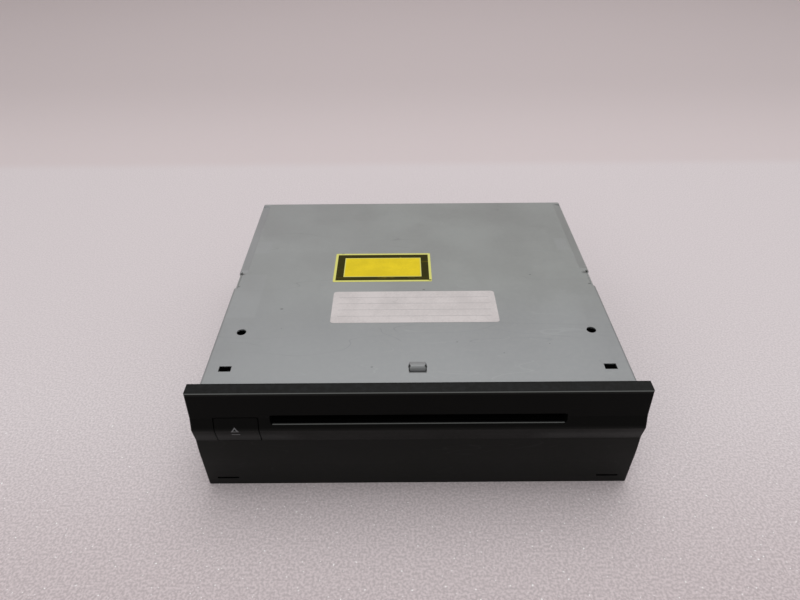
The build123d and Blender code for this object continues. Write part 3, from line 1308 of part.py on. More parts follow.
# The traverse: a cast frame with the spindle motor, two rods, the screw and its motor
TRAVERSE_Z = 32.5
TRAVERSE_THICKNESS = 1.2
ROD_X = 19.0
ROD_RADIUS = 1.5
SCREW_X = 30.0
SLED_FRONT = 102.5
SLED_BACK = 117.0
RAIL_FRONT = 98.5
RAIL_BACK = 153.5
RAIL_BLOCK = 3.0
spindle_place = [(0, back(SPINDLE_DEPTH))]
rod_places = [(side * ROD_X, ROD_Z) for side in (-1, 1)]

with BuildPart() as traverse_chassis:
    with BuildSketch(level(TRAVERSE_Z)):
        with Locations((0, back(113.5))):
            RectangleRounded(92, 87, 4)
        with Locations(*spindle_place):
            Circle(13.2, mode=Mode.SUBTRACT)
        with Locations((0, back(127.5))):
            Rectangle(48, 51, mode=Mode.SUBTRACT)
        with Locations((SCREW_X, back(91.3))):
            Rectangle(8.6, 15.4, mode=Mode.SUBTRACT)
        with Locations((SCREW_X, back(126.5))):
            Rectangle(4.6, 53, mode=Mode.SUBTRACT)
    extrude(amount=TRAVERSE_THICKNESS)
    bar(level(deck_top + 0.02), traverse_places, 4.0, 36.15 - deck_top)
    bar(level(deck_top), traverse_places, 1.0, 8, Mode.SUBTRACT)
    for x in (-ROD_X, ROD_X):
        for depth in (RAIL_FRONT, RAIL_BACK):
            block((x - 3, x + 3), between(depth, depth + RAIL_BLOCK), (TRAVERSE_Z, ROD_Z + 2.0))
    bar(upright(RAIL_FRONT - 1), rod_places, ROD_RADIUS + PRESS, -70, Mode.SUBTRACT)
    screw_place = [(SCREW_X, SCREW_Z)]
    front_bearing_y = between(RAIL_FRONT + 0.5, RAIL_FRONT + 1.7)
    block((SCREW_X - 5, SCREW_X + 5), front_bearing_y, (TRAVERSE_Z, SCREW_Z + 2.6))
    block((SCREW_X - 3, SCREW_X + 3), between(RAIL_BACK, RAIL_BACK + RAIL_BLOCK), (TRAVERSE_Z, SCREW_Z + 2.2))
    bar(upright(RAIL_FRONT - 1), screw_place, 1.0 + RUNNING, -70, Mode.SUBTRACT)
finish(traverse_chassis, "traverse_chassis")

with BuildPart() as guide_rods:
    bar(upright(RAIL_FRONT - 0.5), rod_places, ROD_RADIUS, RAIL_FRONT - 0.5 - (RAIL_BACK + RAIL_BLOCK + 0.5))
finish(guide_rods, "guide_rods")

ROTOR_LOW = 33.3
ROTOR_TOP = 37.6

with BuildPart() as spindle_motor:
    bar(level(TRAVERSE_Z - 0.82), spindle_place, 17.0, 0.8)
    bar(level(TRAVERSE_Z - 0.1), spindle_place, 10.4, 3.4)
    bar(level(TRAVERSE_Z - 0.1), spindle_place, 8.0, 5, Mode.SUBTRACT)
    bar(level(TRAVERSE_Z - 0.1), spindle_place, 8.05, 1.4)
    bar(level(TRAVERSE_Z - 0.1), spindle_place, 2.6, 4.0)
    bar(level(TRAVERSE_Z - 0.4), spindle_place, 1.0 + RUNNING, 8, Mode.SUBTRACT)
finish(spindle_motor, "spindle_motor")

with BuildPart() as spindle_rotor:
    bar(level(ROTOR_LOW), spindle_place, 12.0, ROTOR_TOP - ROTOR_LOW)
    bar(level(ROTOR_LOW - 1), spindle_place, 11.2, ROTOR_TOP - ROTOR_LOW + 1 - 0.7, Mode.SUBTRACT)
    bar(level(TRAVERSE_Z + 0.2), spindle_place, 1.0, SEAT_Z - TRAVERSE_Z - 0.2)
finish(spindle_rotor, "spindle_rotor")

with BuildPart() as turntable:
    turntable_plane = Plane(origin=(0, back(SPINDLE_DEPTH), 0), x_dir=(1, 0, 0), z_dir=(0, -1, 0))
    turned(
        turntable_plane,
        [
            (1.0 + PRESS, ROTOR_TOP + 0.02),
            (6.0, ROTOR_TOP + 0.02),
            (13.0, ROTOR_TOP + 0.5),
            (13.0, SEAT_Z),
            (9.6, SEAT_Z),
            (9.6, SEAT_Z - 0.3),
            (8.4, SEAT_Z - 0.3),
            (8.4, SEAT_Z),
            (HUB_RADIUS, SEAT_Z),
            (HUB_RADIUS, SEAT_Z + 0.9),
            (HUB_RADIUS - 1.1, SLOT_LOW - 0.25),
            (3.0, SLOT_LOW - 0.15),
            (1.0 + PRESS, SLOT_LOW - 0.15),
        ],
    )
finish(turntable, "turntable")

# The sled on its rods, the floating lens and the screw that drives the sled
lens_depth = SPINDLE_DEPTH + LENS_RADIUS
SLED_LOW = 32.9
SLED_TOP = 37.4
WELL = (12.0, 9.6)
LENS_Z = 35.6
LENS_HALF = 2.15
LENS_EDGE = 1.6
LENS_RISE = 0.9

with BuildPart() as pickup_sled:
    with BuildSketch(level(SLED_LOW)):
        with Locations((0, back((SLED_FRONT + SLED_BACK) / 2))):
            RectangleRounded(47, SLED_BACK - SLED_FRONT, 1.5)
    extrude(amount=SLED_TOP - SLED_LOW)
    block((23, SCREW_X + 2.6), between(SLED_FRONT + 2, SLED_BACK - 2), (34.1, SLED_TOP))
    panel(level(34.4), [(0, back(lens_depth - 0.3))], *WELL, 5, 0.8, Mode.SUBTRACT)
    bar(upright(SLED_FRONT - 1), rod_places, ROD_RADIUS + RUNNING, -20, Mode.SUBTRACT)
    bar(upright(SLED_FRONT - 1), screw_place, ROD_RADIUS + 0.1, -20, Mode.SUBTRACT)
finish(pickup_sled, "pickup_sled")

with BuildPart() as lens_holder:
    panel(level(35.0), [(0, back(lens_depth - 0.3))], 10.8, 8.4, 2.6, 0.8)
    bar(level(34.0), [(0, back(lens_depth - 0.3))], 2.2, 5, Mode.SUBTRACT)
finish(lens_holder, "lens_holder")

with BuildPart() as objective_lens:
    lens_plane = Plane(origin=(0, back(lens_depth - 0.3), LENS_Z), x_dir=(1, 0, 0), z_dir=(0, -1, 0))
    dome = (LENS_HALF**2 + LENS_RISE**2) / (2 * LENS_RISE)
    half_angle = math.asin(LENS_HALF / dome) / 2
    half_way = (dome * math.sin(half_angle), LENS_EDGE + LENS_RISE - dome * (1 - math.cos(half_angle)))
    with BuildSketch(lens_plane) as lens_half:
        with BuildLine():
            Line((0, 0), (LENS_HALF, 0))
            Line((LENS_HALF, 0), (LENS_HALF, LENS_EDGE))
            ThreePointArc((LENS_HALF, LENS_EDGE), half_way, (0, LENS_EDGE + LENS_RISE))
            Line((0, LENS_EDGE + LENS_RISE), (0, 0))
        make_face()
    revolve(lens_half.sketch, axis=Axis(lens_plane.origin, lens_plane.y_dir))
finish(objective_lens, "objective_lens")

with BuildPart() as lead_screw:
    bar(upright(RAIL_FRONT + 2), screw_place, ROD_RADIUS, RAIL_FRONT + 2 - (RAIL_BACK - 0.3))
    bar(upright(RAIL_FRONT - 2), screw_place, 1.0, RAIL_FRONT - 2 - (RAIL_BACK + RAIL_BLOCK))
finish(lead_screw, "lead_screw")

with BuildPart() as sled_motor:
    bar(upright(84), screw_place, 3.4, 84 - RAIL_FRONT - 0.48)
    bar(upright(RAIL_FRONT - 2.5), screw_place, 1.0 + RUNNING, -4, Mode.SUBTRACT)
    panel(upright(86), [(SCREW_X + 3.6, SCREW_Z)], 1.4, 3.0, -4)
finish(sled_motor, "sled_motor")

# Two levers that the disc's edge pushes apart as it enters
PIN_X = DISC_RADIUS - 14.0
PIN_DEPTH = 11.5

for side, name in ((-1, "left_disc_lever"), (1, "right_disc_lever")):
    pin_place = (side * PIN_X, back(PIN_DEPTH))
    pivot_place = (side * LEVER_X, back(LEVER_DEPTH))
    with BuildPart() as disc_lever:
        with BuildSketch(level(plate_top + 0.35)):
            SlotCenterPoint(
                ((pin_place[0] + pivot_place[0]) / 2, (pin_place[1] + pivot_place[1]) / 2),
                pivot_place,
                5.0,
            )
        extrude(amount=1.0)
        bar(level(plate_top + 1.3), [pin_place], 0.95, -(plate_top + 1.3 - SLOT_LOW - 0.6))
        bar(level(plate_top - 1), [pivot_place], 1.2 + RUNNING, 5, Mode.SUBTRACT)
    finish(disc_lever, name)

DETECTOR_PLACES = ((-38.0, 36.0), (38.0, 36.0), (0.0, 36.0))

with BuildPart() as detector_switches:
    for x, depth in DETECTOR_PLACES:
        panel(level(plate_top + 0.02), [(x, back(depth))], 7.0, 4.2, 2.4, 0.4)
        panel(level(plate_top + 0.02), [(x - 2.2, back(depth - 2.4))], 1.4, 1.6, 1.4)
finish(detector_switches, "detector_switches")
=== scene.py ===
"""Finishes and finely made pieces for a slot-loading disc drive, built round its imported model.

Lengths in the tables and functions are millimetres; meshes are scaled to metres as they are made.
X runs to the right, Y to the back and Z up. A depth is a distance behind the top front edge of the face.
"""

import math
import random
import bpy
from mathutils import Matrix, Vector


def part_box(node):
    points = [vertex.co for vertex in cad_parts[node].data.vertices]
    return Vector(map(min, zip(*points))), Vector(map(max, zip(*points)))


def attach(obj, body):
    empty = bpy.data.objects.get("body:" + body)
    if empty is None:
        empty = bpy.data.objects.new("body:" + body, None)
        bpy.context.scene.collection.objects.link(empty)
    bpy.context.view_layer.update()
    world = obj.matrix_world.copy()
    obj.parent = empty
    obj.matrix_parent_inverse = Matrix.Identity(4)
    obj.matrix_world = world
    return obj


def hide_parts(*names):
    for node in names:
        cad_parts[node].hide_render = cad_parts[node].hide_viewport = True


bl_info = {
    "name": "Slot-Loading Disc Drive",
    "version": (1, 0, 0),
    "blender": (4, 5, 0),
    "location": "View3D > Sidebar > Disc Drive",
    "description": "Gives the disc drive its finishes, its fine pieces and a plain studio",
    "category": "Object",
}

import bmesh
import bpy
from bpy.props import FloatProperty, FloatVectorProperty, IntProperty, PointerProperty
from mathutils import Matrix, Vector

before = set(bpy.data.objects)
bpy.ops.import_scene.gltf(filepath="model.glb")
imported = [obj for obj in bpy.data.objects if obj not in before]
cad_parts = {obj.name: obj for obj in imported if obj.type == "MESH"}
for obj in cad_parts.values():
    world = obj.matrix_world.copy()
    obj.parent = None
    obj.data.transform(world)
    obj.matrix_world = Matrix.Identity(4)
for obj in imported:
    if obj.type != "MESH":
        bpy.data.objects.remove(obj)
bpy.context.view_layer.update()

MM = 0.001
MM_PER_METRE = 1000.0
RIDGE_OUT = 2.6
FACE_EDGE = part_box("faceplate")[0].y / MM + RIDGE_OUT
BOARD_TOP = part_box("main_board")[1].z / MM
SLOT_MIDDLE = 43.4
FACE_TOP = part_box("faceplate")[1].z / MM
RIDGE_Z = 38.1
STEP_Z = 30.6
CAMERA_PLACE = (-0.00689, -0.2593, 0.23581)
CAMERA_PITCH = 36.68
CAMERA_YAW = -0.114
CAMERA_ROLL = -0.488


def deep(depth):
    """The Y, in millimetres, of a place this far behind the top front edge of the face."""
    return FACE_EDGE + depth


def screen_colour(red, green, blue):
    """The linear colour that shows as these eight-bit screen values."""
    linear = []
    for value in (red, green, blue):
        part = value / 255
        if part <= 0.04045:
            linear.append(part / 12.92)
        else:
            linear.append(((part + 0.055) / 1.055) ** 2.4)
    return tuple(linear)


def scaled(colour, share):
    """A colour with its three parts made darker or lighter, by one share or by three."""
    shares = share if isinstance(share, tuple) else (share, share, share)
    return tuple(part * by for part, by in zip(colour, shares))


def corners(node):
    """The two corners of a CAD node's box, in millimetres."""
    low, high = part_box(node)
    return low / MM, high / MM


# Node trees


def add_node(tree, kind, wiring=None, **settings):
    """Adds a node; each input in wiring gets a value, or a link where the value is a socket."""
    node = tree.nodes.new(kind)
    for name, value in settings.items():
        setattr(node, name, value)
    for name, source in (wiring or {}).items():
        if isinstance(source, bpy.types.NodeSocket):
            tree.links.new(source, node.inputs[name])
        else:
            node.inputs[name].default_value = source
    return node


def calc(tree, operation, first, second=0.0, third=None, clamp=False):
    """The output of a Math node."""
    wiring = {0: first, 1: second}
    if third is not None:
        wiring[2] = third
    return add_node(tree, "ShaderNodeMath", wiring, operation=operation, use_clamp=clamp).outputs[0]


def product(tree, first, *others):
    """The product of two or more values."""
    for other in others:
        first = calc(tree, "MULTIPLY", first, other)
    return first


def spread(tree, value, low, high, to_low=0.0, to_high=1.0):
    """A value moved from one range to another, held at the new range's ends."""
    wiring = {0: value, 1: low, 2: high, 3: to_low, 4: to_high}
    return add_node(tree, "ShaderNodeMapRange", wiring, interpolation_type="SMOOTHSTEP").outputs[0]


def object_place(tree):
    """Where each point of a piece lies, in metres."""
    return add_node(tree, "ShaderNodeTexCoord").outputs["Object"]


def axes_of(tree, vector):
    """The X, Y and Z outputs of a vector."""
    return add_node(tree, "ShaderNodeSeparateXYZ", {0: vector}).outputs


def noise(tree, place, scale, detail):
    """The tone of a noise at each place."""
    wiring = {"Vector": place, "Scale": scale, "Detail": detail}
    return add_node(tree, "ShaderNodeTexNoise", wiring).outputs[0]


def mix_colour(tree, factor, low, high, blend="MIX"):
    """The colour output of a Mix node; colours are sockets or linear triples."""
    node = add_node(tree, "ShaderNodeMix", data_type="RGBA", blend_type=blend)
    for place, source in ((0, factor), (6, low), (7, high)):
        if isinstance(source, bpy.types.NodeSocket):
            tree.links.new(source, node.inputs[place])
        elif place == 0:
            node.inputs[place].default_value = source
        else:
            node.inputs[place].default_value = (*source, 1.0)
    return node.outputs[2]


def start_group(name, takes, gives):
    """Starts a shader group with named sockets and hands back its tree, inputs and output node."""
    tree = bpy.data.node_groups.new(name, "ShaderNodeTree")
    kinds = {float: "NodeSocketFloat", tuple: "NodeSocketVector"}
    for label, default in takes.items():
        socket = tree.interface.new_socket(label, in_out="INPUT", socket_type=kinds[type(default)])
        socket.default_value = default
    for label, kind in gives.items():
        tree.interface.new_socket(label, in_out="OUTPUT", socket_type=kind)
    entry = tree.nodes.new("NodeGroupInput")
    leave = tree.nodes.new("NodeGroupOutput")
    return tree, entry.outputs, leave


def cloud_group():
    """Broad soft changes of tone, with finer mottling in them."""
    tree, takes, leave = start_group("Cloud", {"Size": 30.0, "Mottle": 0.3}, {"Tone": "NodeSocketFloat"})
    place = object_place(tree)
    scale = calc(tree, "DIVIDE", MM_PER_METRE, takes["Size"])
    broad = noise(tree, place, scale, 3.0)
    fine = noise(tree, place, product(tree, scale, 14.0), 4.0)
    weight = product(tree, calc(tree, "SUBTRACT", fine, 0.5), takes["Mottle"])
    tree.links.new(calc(tree, "ADD", broad, weight, clamp=True), leave.inputs["Tone"])
    return tree


def scratch_group():
    """Thin broken lines in three directions."""
    takes = {"Spacing": 6.0, "Width": 0.02, "Amount": 1.0}
    tree, takes, leave = start_group("Fine scratches", takes, {"Mask": "NodeSocketFloat"})
    place = object_place(tree)
    scale = calc(tree, "DIVIDE", MM_PER_METRE, takes["Spacing"])
    total = None
    for turn, shift in ((0.35, 0.0), (1.25, 3.7), (-0.6, 8.1)):
        stretch = {"Vector": place, "Location": (shift, shift, shift), "Rotation": (0.2, 0.1, turn)}
        lie = add_node(tree, "ShaderNodeMapping", {**stretch, "Scale": (0.16, 1.0, 1.0)}).outputs[0]
        away = calc(tree, "ABSOLUTE", calc(tree, "SUBTRACT", noise(tree, lie, scale, 1.0), 0.5))
        line = spread(tree, away, 0.0, takes["Width"], 1.0, 0.0)
        gaps = noise(tree, lie, product(tree, scale, 0.7), 0.0)
        broken = product(tree, line, spread(tree, gaps, 0.6, 0.68))
        total = broken if total is None else calc(tree, "MAXIMUM", total, broken)
    tree.links.new(product(tree, total, takes["Amount"]), leave.inputs["Mask"])
    return tree


def grain_group():
    """The fine surface that a mould, a cast or a ground stone leaves."""
    takes = {"Size": 0.3, "Depth": 0.01, "Normal": (0.0, 0.0, 0.0)}
    tree, takes, leave = start_group("Surface grain", takes, {"Normal": "NodeSocketVector"})
    place = object_place(tree)
    scale = calc(tree, "DIVIDE", MM_PER_METRE, takes["Size"])
    height = noise(tree, place, scale, 2.0)
    distance = product(tree, takes["Depth"], MM)
    wiring = {"Height": height, "Distance": distance, "Normal": takes["Normal"], "Strength": 1.0}
    bump = add_node(tree, "ShaderNodeBump", wiring)
    tree.links.new(bump.outputs[0], leave.inputs["Normal"])
    return tree


def edge_group():
    """A softened normal at the edges, and a patchy mask of where they are rubbed."""
    takes = {"Radius": 0.2, "Wear": 0.5}
    gives = {"Mask": "NodeSocketFloat", "Normal": "NodeSocketVector"}
    tree, takes, leave = start_group("Worn edges", takes, gives)
    radius = product(tree, takes["Radius"], MM)
    soft = add_node(tree, "ShaderNodeBevel", {"Radius": radius}, samples=4).outputs[0]
    face = add_node(tree, "ShaderNodeNewGeometry").outputs["Normal"]
    both = add_node(tree, "ShaderNodeVectorMath", {0: soft, 1: face}, operation="DOT_PRODUCT")
    along = both.outputs["Value"]
    edge = spread(tree, along, 0.86, 0.99, 1.0, 0.0)
    patchy = spread(tree, noise(tree, object_place(tree), 260.0, 4.0), 0.42, 0.62)
    mask = product(tree, edge, patchy, takes["Wear"])
    tree.links.new(mask, leave.inputs["Mask"])
    tree.links.new(soft, leave.inputs["Normal"])
    return tree


def dust_group():
    """Dust that has settled on what faces up, thicker in some places."""
    tree, takes, leave = start_group("Dust", {"Amount": 0.2}, {"Mask": "NodeSocketFloat"})
    facing = add_node(tree, "ShaderNodeNewGeometry").outputs["Normal"]
    upward = axes_of(tree, facing)["Z"]
    place = object_place(tree)
    film = spread(tree, noise(tree, place, 420.0, 5.0), 0.35, 0.75, 0.25, 1.0)
    speck = spread(tree, noise(tree, place, 2600.0, 1.0), 0.69, 0.76)
    lying = product(tree, spread(tree, upward, 0.3, 0.95), calc(tree, "MAXIMUM", film, speck))
    tree.links.new(product(tree, lying, takes["Amount"]), leave.inputs["Mask"])
    return tree


def patch_group():
    """A soft-edged rectangle on a level surface, given by its middle and half sizes."""
    takes = {"Middle X": 0.0, "Middle Y": 0.0, "Half width": 5.0, "Half length": 5.0, "Softness": 1.0}
    tree, takes, leave = start_group("Rectangle", takes, {"Mask": "NodeSocketFloat"})
    place = object_place(tree)
    axes = axes_of(tree, place)
    inside = []
    for axis, middle, half in (("X", "Middle X", "Half width"), ("Y", "Middle Y", "Half length")):
        along = product(tree, axes[axis], MM_PER_METRE)
        away = calc(tree, "ABSOLUTE", calc(tree, "SUBTRACT", along, takes[middle]))
        left = calc(tree, "SUBTRACT", takes[half], away)
        inside.append(calc(tree, "DIVIDE", left, takes["Softness"], clamp=True))
    tree.links.new(product(tree, inside[0], inside[1]), leave.inputs["Mask"])
    return tree


GROUPS = {}


def effect(tree, name, output=0, **takes):
    """The output of a shared effect group, built the first time it is asked for."""
    makers = {
        "Cloud": cloud_group,
        "Fine scratches": scratch_group,
        "Surface grain": grain_group,
        "Worn edges": edge_group,
        "Dust": dust_group,
        "Rectangle": patch_group,
    }
    if name not in GROUPS:
        GROUPS[name] = makers[name]()
    node = add_node(tree, "ShaderNodeGroup", node_tree=GROUPS[name])
    for label, value in takes.items():
        socket = node.inputs[label.replace("_", " ")]
        if isinstance(value, bpy.types.NodeSocket):
            tree.links.new(value, socket)
        else:
            socket.default_value = value
    return node.outputs[output]


def rectangle(tree, x, y, half_width, half_length, softness):
    """The mask of a soft-edged rectangle, in millimetres."""
    takes = {"Middle_X": x, "Middle_Y": y, "Half_width": half_width, "Half_length": half_length}
    return effect(tree, "Rectangle", **takes, Softness=softness)


MATERIALS = {}


def start_material(name, roughness, metallic=0.0, **sockets):
    """A new material and its Principled shader, with its plain sockets set."""
    material = bpy.data.materials.new(name)
    material.use_nodes = True
    shader = material.node_tree.nodes["Principled BSDF"]
    shader.inputs["Roughness"].default_value = roughness
    shader.inputs["Metallic"].default_value = metallic
    for label, value in sockets.items():
        shader.inputs[label.replace("_", " ")].default_value = value
    MATERIALS[name] = material
    return material.node_tree, shader.inputs


def made_material(
    name,
    colour,
    roughness,
    metallic=0.0,
    vary=0.12,
    cloud=12.0,
    grain=(0.25, 0.006),
    edge=(0.12, 0.3),
    wear_colour=None,
    dust_colour=(0.45, 0.43, 0.41),
    dust_above=0.0,
    dust=0.0,
    scratches=0.0,
    **sockets,
):
    """A finish with uneven tone, surface grain, rubbed edges, dust and scratches, each as asked."""
    tree, shader = start_material(name, roughness, metallic, **sockets)
    dark = tuple(part * (1 - vary) for part in colour)
    light = tuple(min(part * (1 + vary), 1.0) for part in colour)
    tone = effect(tree, "Cloud", Size=cloud, Mottle=0.5)
    surface = mix_colour(tree, spread(tree, tone, 0.3, 0.7), dark, light)
    rough = spread(tree, tone, 0.25, 0.75, roughness * 0.86, roughness * 1.14)
    worn = effect(tree, "Worn edges", "Mask", Radius=edge[0], Wear=edge[1])
    rounded = effect(tree, "Worn edges", "Normal", Radius=edge[0], Wear=edge[1])
    rubbed = wear_colour or tuple(min(part * 1.6 + 0.03, 1.0) for part in colour)
    surface = mix_colour(tree, worn, surface, rubbed)
    if scratches:
        lines = effect(tree, "Fine scratches", Spacing=5.0, Width=0.012, Amount=scratches)
        surface = mix_colour(tree, lines, surface, rubbed)
    if dust:
        lying = effect(tree, "Dust", Amount=dust)
        if dust_above:
            height = axes_of(tree, object_place(tree))["Z"]
            high = spread(tree, height, (dust_above - 0.5) * MM, dust_above * MM)
            lying = product(tree, lying, high)
        surface = mix_colour(tree, lying, surface, dust_colour)
        rough = calc(tree, "ADD", rough, product(tree, lying, 0.3), clamp=True)
    tree.links.new(surface, shader["Base Color"])
    tree.links.new(rough, shader["Roughness"])
    normal = effect(tree, "Surface grain", Size=grain[0], Depth=grain[1], Normal=rounded)
    tree.links.new(normal, shader["Normal"])
    return MATERIALS[name]


def finish_nodes(material, *nodes):
    """Gives CAD nodes a material."""
    for node in nodes:
        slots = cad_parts[node].data.materials
        slots.clear()
        slots.append(material)


# Meshes


def add_to_scene(name, data):
    """Makes an object of a mesh, a lamp or a camera and links it to the scene."""
    made = bpy.data.objects.new(name, data)
    bpy.context.scene.collection.objects.link(made)
    return made


def to_object(name, bm, material=None, smooth=True):
    """Turns a bmesh in millimetres into an object whose place is in its mesh, in metres."""
    bmesh.ops.scale(bm, vec=(MM, MM, MM), verts=bm.verts)
    bmesh.ops.recalc_face_normals(bm, faces=bm.faces)
    mesh = bpy.data.meshes.new(name)
    bm.to_mesh(mesh)
    bm.free()
    if smooth:
        mesh.shade_smooth()
        mesh.set_sharp_from_angle(angle=math.radians(35))
    if material is not None:
        mesh.materials.append(material)
    return add_to_scene(name, mesh)


def place_on(piece, body, slot, *nodes):
    """Makes a piece ride on a body and stand for CAD nodes, which it hides; the slot is not used."""
    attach(piece, body)
    if nodes:
        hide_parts(*nodes)
    return piece


def turn_to(direction, centre):
    """A matrix that takes the Z axis to a direction and the origin to a place."""
    rotation = Vector((0, 0, 1)).rotation_difference(Vector(direction)).to_matrix().to_4x4()
    return Matrix.Translation(Vector(centre)) @ rotation


def add_skin(bm, low, high):
    """Adds the faces between two rings with the same number of points."""
    count = len(low)
    for step in range(count):
        after = (step + 1) % count
        bm.faces.new((low[step], low[after], high[after], high[step]))


def add_lathe(bm, profile, direction=(0, 0, 1), centre=(0, 0, 0), segments=48, closed=False):
    """Adds a turned skin from (radius, height) points; a radius of zero closes it at a pole."""
    where = turn_to(direction, centre)
    rings = []
    for radius, height in profile:
        if radius == 0:
            rings.append([bm.verts.new(where @ Vector((0, 0, height)))])
            continue
        ring = []
        for step in range(segments):
            angle = 2 * math.pi * step / segments
            point = Vector((radius * math.cos(angle), radius * math.sin(angle), height))
            ring.append(bm.verts.new(where @ point))
        rings.append(ring)
    pairs = list(zip(rings, rings[1:]))
    if closed:
        pairs.append((rings[-1], rings[0]))
    for low, high in pairs:
        if len(low) == len(high):
            add_skin(bm, low, high)
            continue
        for step in range(segments):
            after = (step + 1) % segments
            if len(low) == 1:
                bm.faces.new((low[0], high[after], high[step]))
            else:
                bm.faces.new((low[step], low[after], high[0]))


def add_block(bm, low, high, bevel=0.0):
    """Adds a block between two corners, with its edges bevelled if asked."""
    made = bmesh.ops.create_cube(bm, size=1.0)["verts"]
    size = Vector(high) - Vector(low)
    middle = (Vector(high) + Vector(low)) / 2
    for vertex in made:
        vertex.co = Vector(a * b for a, b in zip(vertex.co, size)) + middle
    if bevel:
        edges = {edge for vertex in made for edge in vertex.link_edges}
        bmesh.ops.bevel(bm, geom=list(edges), offset=bevel, segments=2, profile=0.6, affect="EDGES")


def add_thread(bm, root, crest, pitch, length, direction, centre, segments=24, rows=8):
    """Adds a rod with a real helical thread, closed at both ends."""
    where = turn_to(direction, centre)
    count = max(int(length / pitch * rows), 2)
    rings = []
    for row in range(count + 1):
        height = length * row / count
        fade = min(1.0, height / pitch, (length - height) / pitch)
        ring = []
        for step in range(segments):
            turn = step / segments
            phase = (height / pitch - turn) % 1.0
            ridge = max(0.0, min(1.0, 1.6 - 4.2 * abs(phase - 0.5)))
            radius = root + (crest - root) * ridge * fade
            angle = 2 * math.pi * turn
            point = Vector((radius * math.cos(angle), radius * math.sin(angle), height))
            ring.append(bm.verts.new(where @ point))
        rings.append(ring)
    for low, high in zip(rings, rings[1:]):
        add_skin(bm, low, high)
    bm.faces.new(list(reversed(rings[0])))
    bm.faces.new(rings[-1])


def without(base, cutter):
    """Cuts one object out of another, in place, and removes the cutter."""
    change = base.modifiers.new("Cut", "BOOLEAN")
    change.operation = "DIFFERENCE"
    change.solver = "EXACT"
    change.object = cutter
    keep_result(base)
    bpy.data.objects.remove(cutter)
    return base


def keep_result(piece):
    """Replaces a piece's mesh with the result of its modifiers and removes them."""
    bpy.context.view_layer.update()
    shown = piece.evaluated_get(bpy.context.evaluated_depsgraph_get())
    result = bpy.data.meshes.new_from_object(shown)
    result.name = piece.name
    piece.modifiers.clear()
    piece.data = result
    return piece


def start_tree(name, takes):
    """Starts a Geometry Nodes tree with a geometry input, named inputs and an output."""
    tree = bpy.data.node_groups.new(name, "GeometryNodeTree")
    tree.interface.new_socket("Geometry", in_out="INPUT", socket_type="NodeSocketGeometry")
    for label, (kind, default) in takes.items():
        socket = tree.interface.new_socket(label, in_out="INPUT", socket_type=kind)
        if default is not None:
            socket.default_value = default
    tree.interface.new_socket("Geometry", in_out="OUTPUT", socket_type="NodeSocketGeometry")
    entry = tree.nodes.new("NodeGroupInput").outputs
    leave = tree.nodes.new("NodeGroupOutput").inputs
    return tree, entry, leave


def run_tree(piece, tree, values):
    """Runs a tree on a piece, its inputs set by identifier, and keeps the plain mesh."""
    change = piece.modifiers.new(tree.name, "NODES")
    change.node_group = tree
    for item in tree.interface.items_tree:
        if item.item_type == "SOCKET" and item.in_out == "INPUT" and item.name in values:
            change[item.identifier] = values[item.name]
    return keep_result(piece)


def repeat_tree():
    """Sets a copy of a shape at each point, turned to the point's facing, a little varied in size."""
    takes = {
        "Shape": ("NodeSocketObject", None),
        "Finish": ("NodeSocketMaterial", None),
        "Size variation": ("NodeSocketFloat", 0.0),
        "Spin": ("NodeSocketFloat", 0.0),
        "Seed": ("NodeSocketInt", 1),
    }
    tree, entry, leave = start_tree("Repeat shape at points", takes)
    wiring = {"Name": "facing"}
    facing = add_node(tree, "GeometryNodeInputNamedAttribute", wiring, data_type="FLOAT_VECTOR")
    turn = add_node(tree, "FunctionNodeAlignRotationToVector", {"Vector": facing.outputs[0]}, axis="Z")
    spin = add_node(tree, "FunctionNodeRandomValue", data_type="FLOAT")
    tree.links.new(product(tree, entry["Spin"], -1.0), spin.inputs[2])
    tree.links.new(entry["Spin"], spin.inputs[3])
    tree.links.new(entry["Seed"], spin.inputs["Seed"])
    about = add_node(tree, "FunctionNodeAxisAngleToRotation", {"Angle": spin.outputs[1]})
    about.inputs["Axis"].default_value = (0, 0, 1)
    wiring = {"Rotation": turn.outputs[0], "Rotate By": about.outputs[0]}
    both = add_node(tree, "FunctionNodeRotateRotation", wiring, rotation_space="LOCAL")
    size = add_node(tree, "FunctionNodeRandomValue", data_type="FLOAT")
    tree.links.new(calc(tree, "SUBTRACT", 1.0, entry["Size variation"]), size.inputs[2])
    size.inputs[3].default_value = 1.0
    tree.links.new(entry["Seed"], size.inputs["Seed"])
    shape = add_node(tree, "GeometryNodeObjectInfo", {"Object": entry["Shape"]}, transform_space="ORIGINAL")
    points = add_node(tree, "GeometryNodeMeshToPoints", {"Mesh": entry["Geometry"]})
    wiring = {
        "Points": points.outputs[0],
        "Instance": shape.outputs["Geometry"],
        "Rotation": both.outputs[0],
        "Scale": size.outputs[1],
    }
    copies = add_node(tree, "GeometryNodeInstanceOnPoints", wiring)
    real = add_node(tree, "GeometryNodeRealizeInstances", {"Geometry": copies.outputs[0]})
    wiring = {"Geometry": real.outputs[0], "Material": entry["Finish"]}
    finish = add_node(tree, "GeometryNodeSetMaterial", wiring)
    tree.links.new(finish.outputs[0], leave["Geometry"])
    return tree


def repeat_shape(name, shape, places, material, variation=0.0, spin=0.0, seed=1):
    """Repeats a shape at places, each a point and the way it faces, as one plain mesh."""
    tree = bpy.data.node_groups.get("Repeat shape at points") or repeat_tree()
    mesh = bpy.data.meshes.new(name)
    mesh.from_pydata([Vector(point) * MM for point, facing in places], [], [])
    facings = mesh.attributes.new("facing", "FLOAT_VECTOR", "POINT")
    for number, (point, facing) in enumerate(places):
        facings.data[number].vector = facing
    piece = add_to_scene(name, mesh)
    values = {"Shape": shape, "Finish": material, "Size variation": variation, "Spin": spin, "Seed": seed}
    run_tree(piece, tree, values)
    bpy.data.objects.remove(shape)
    return piece


# What a user may change


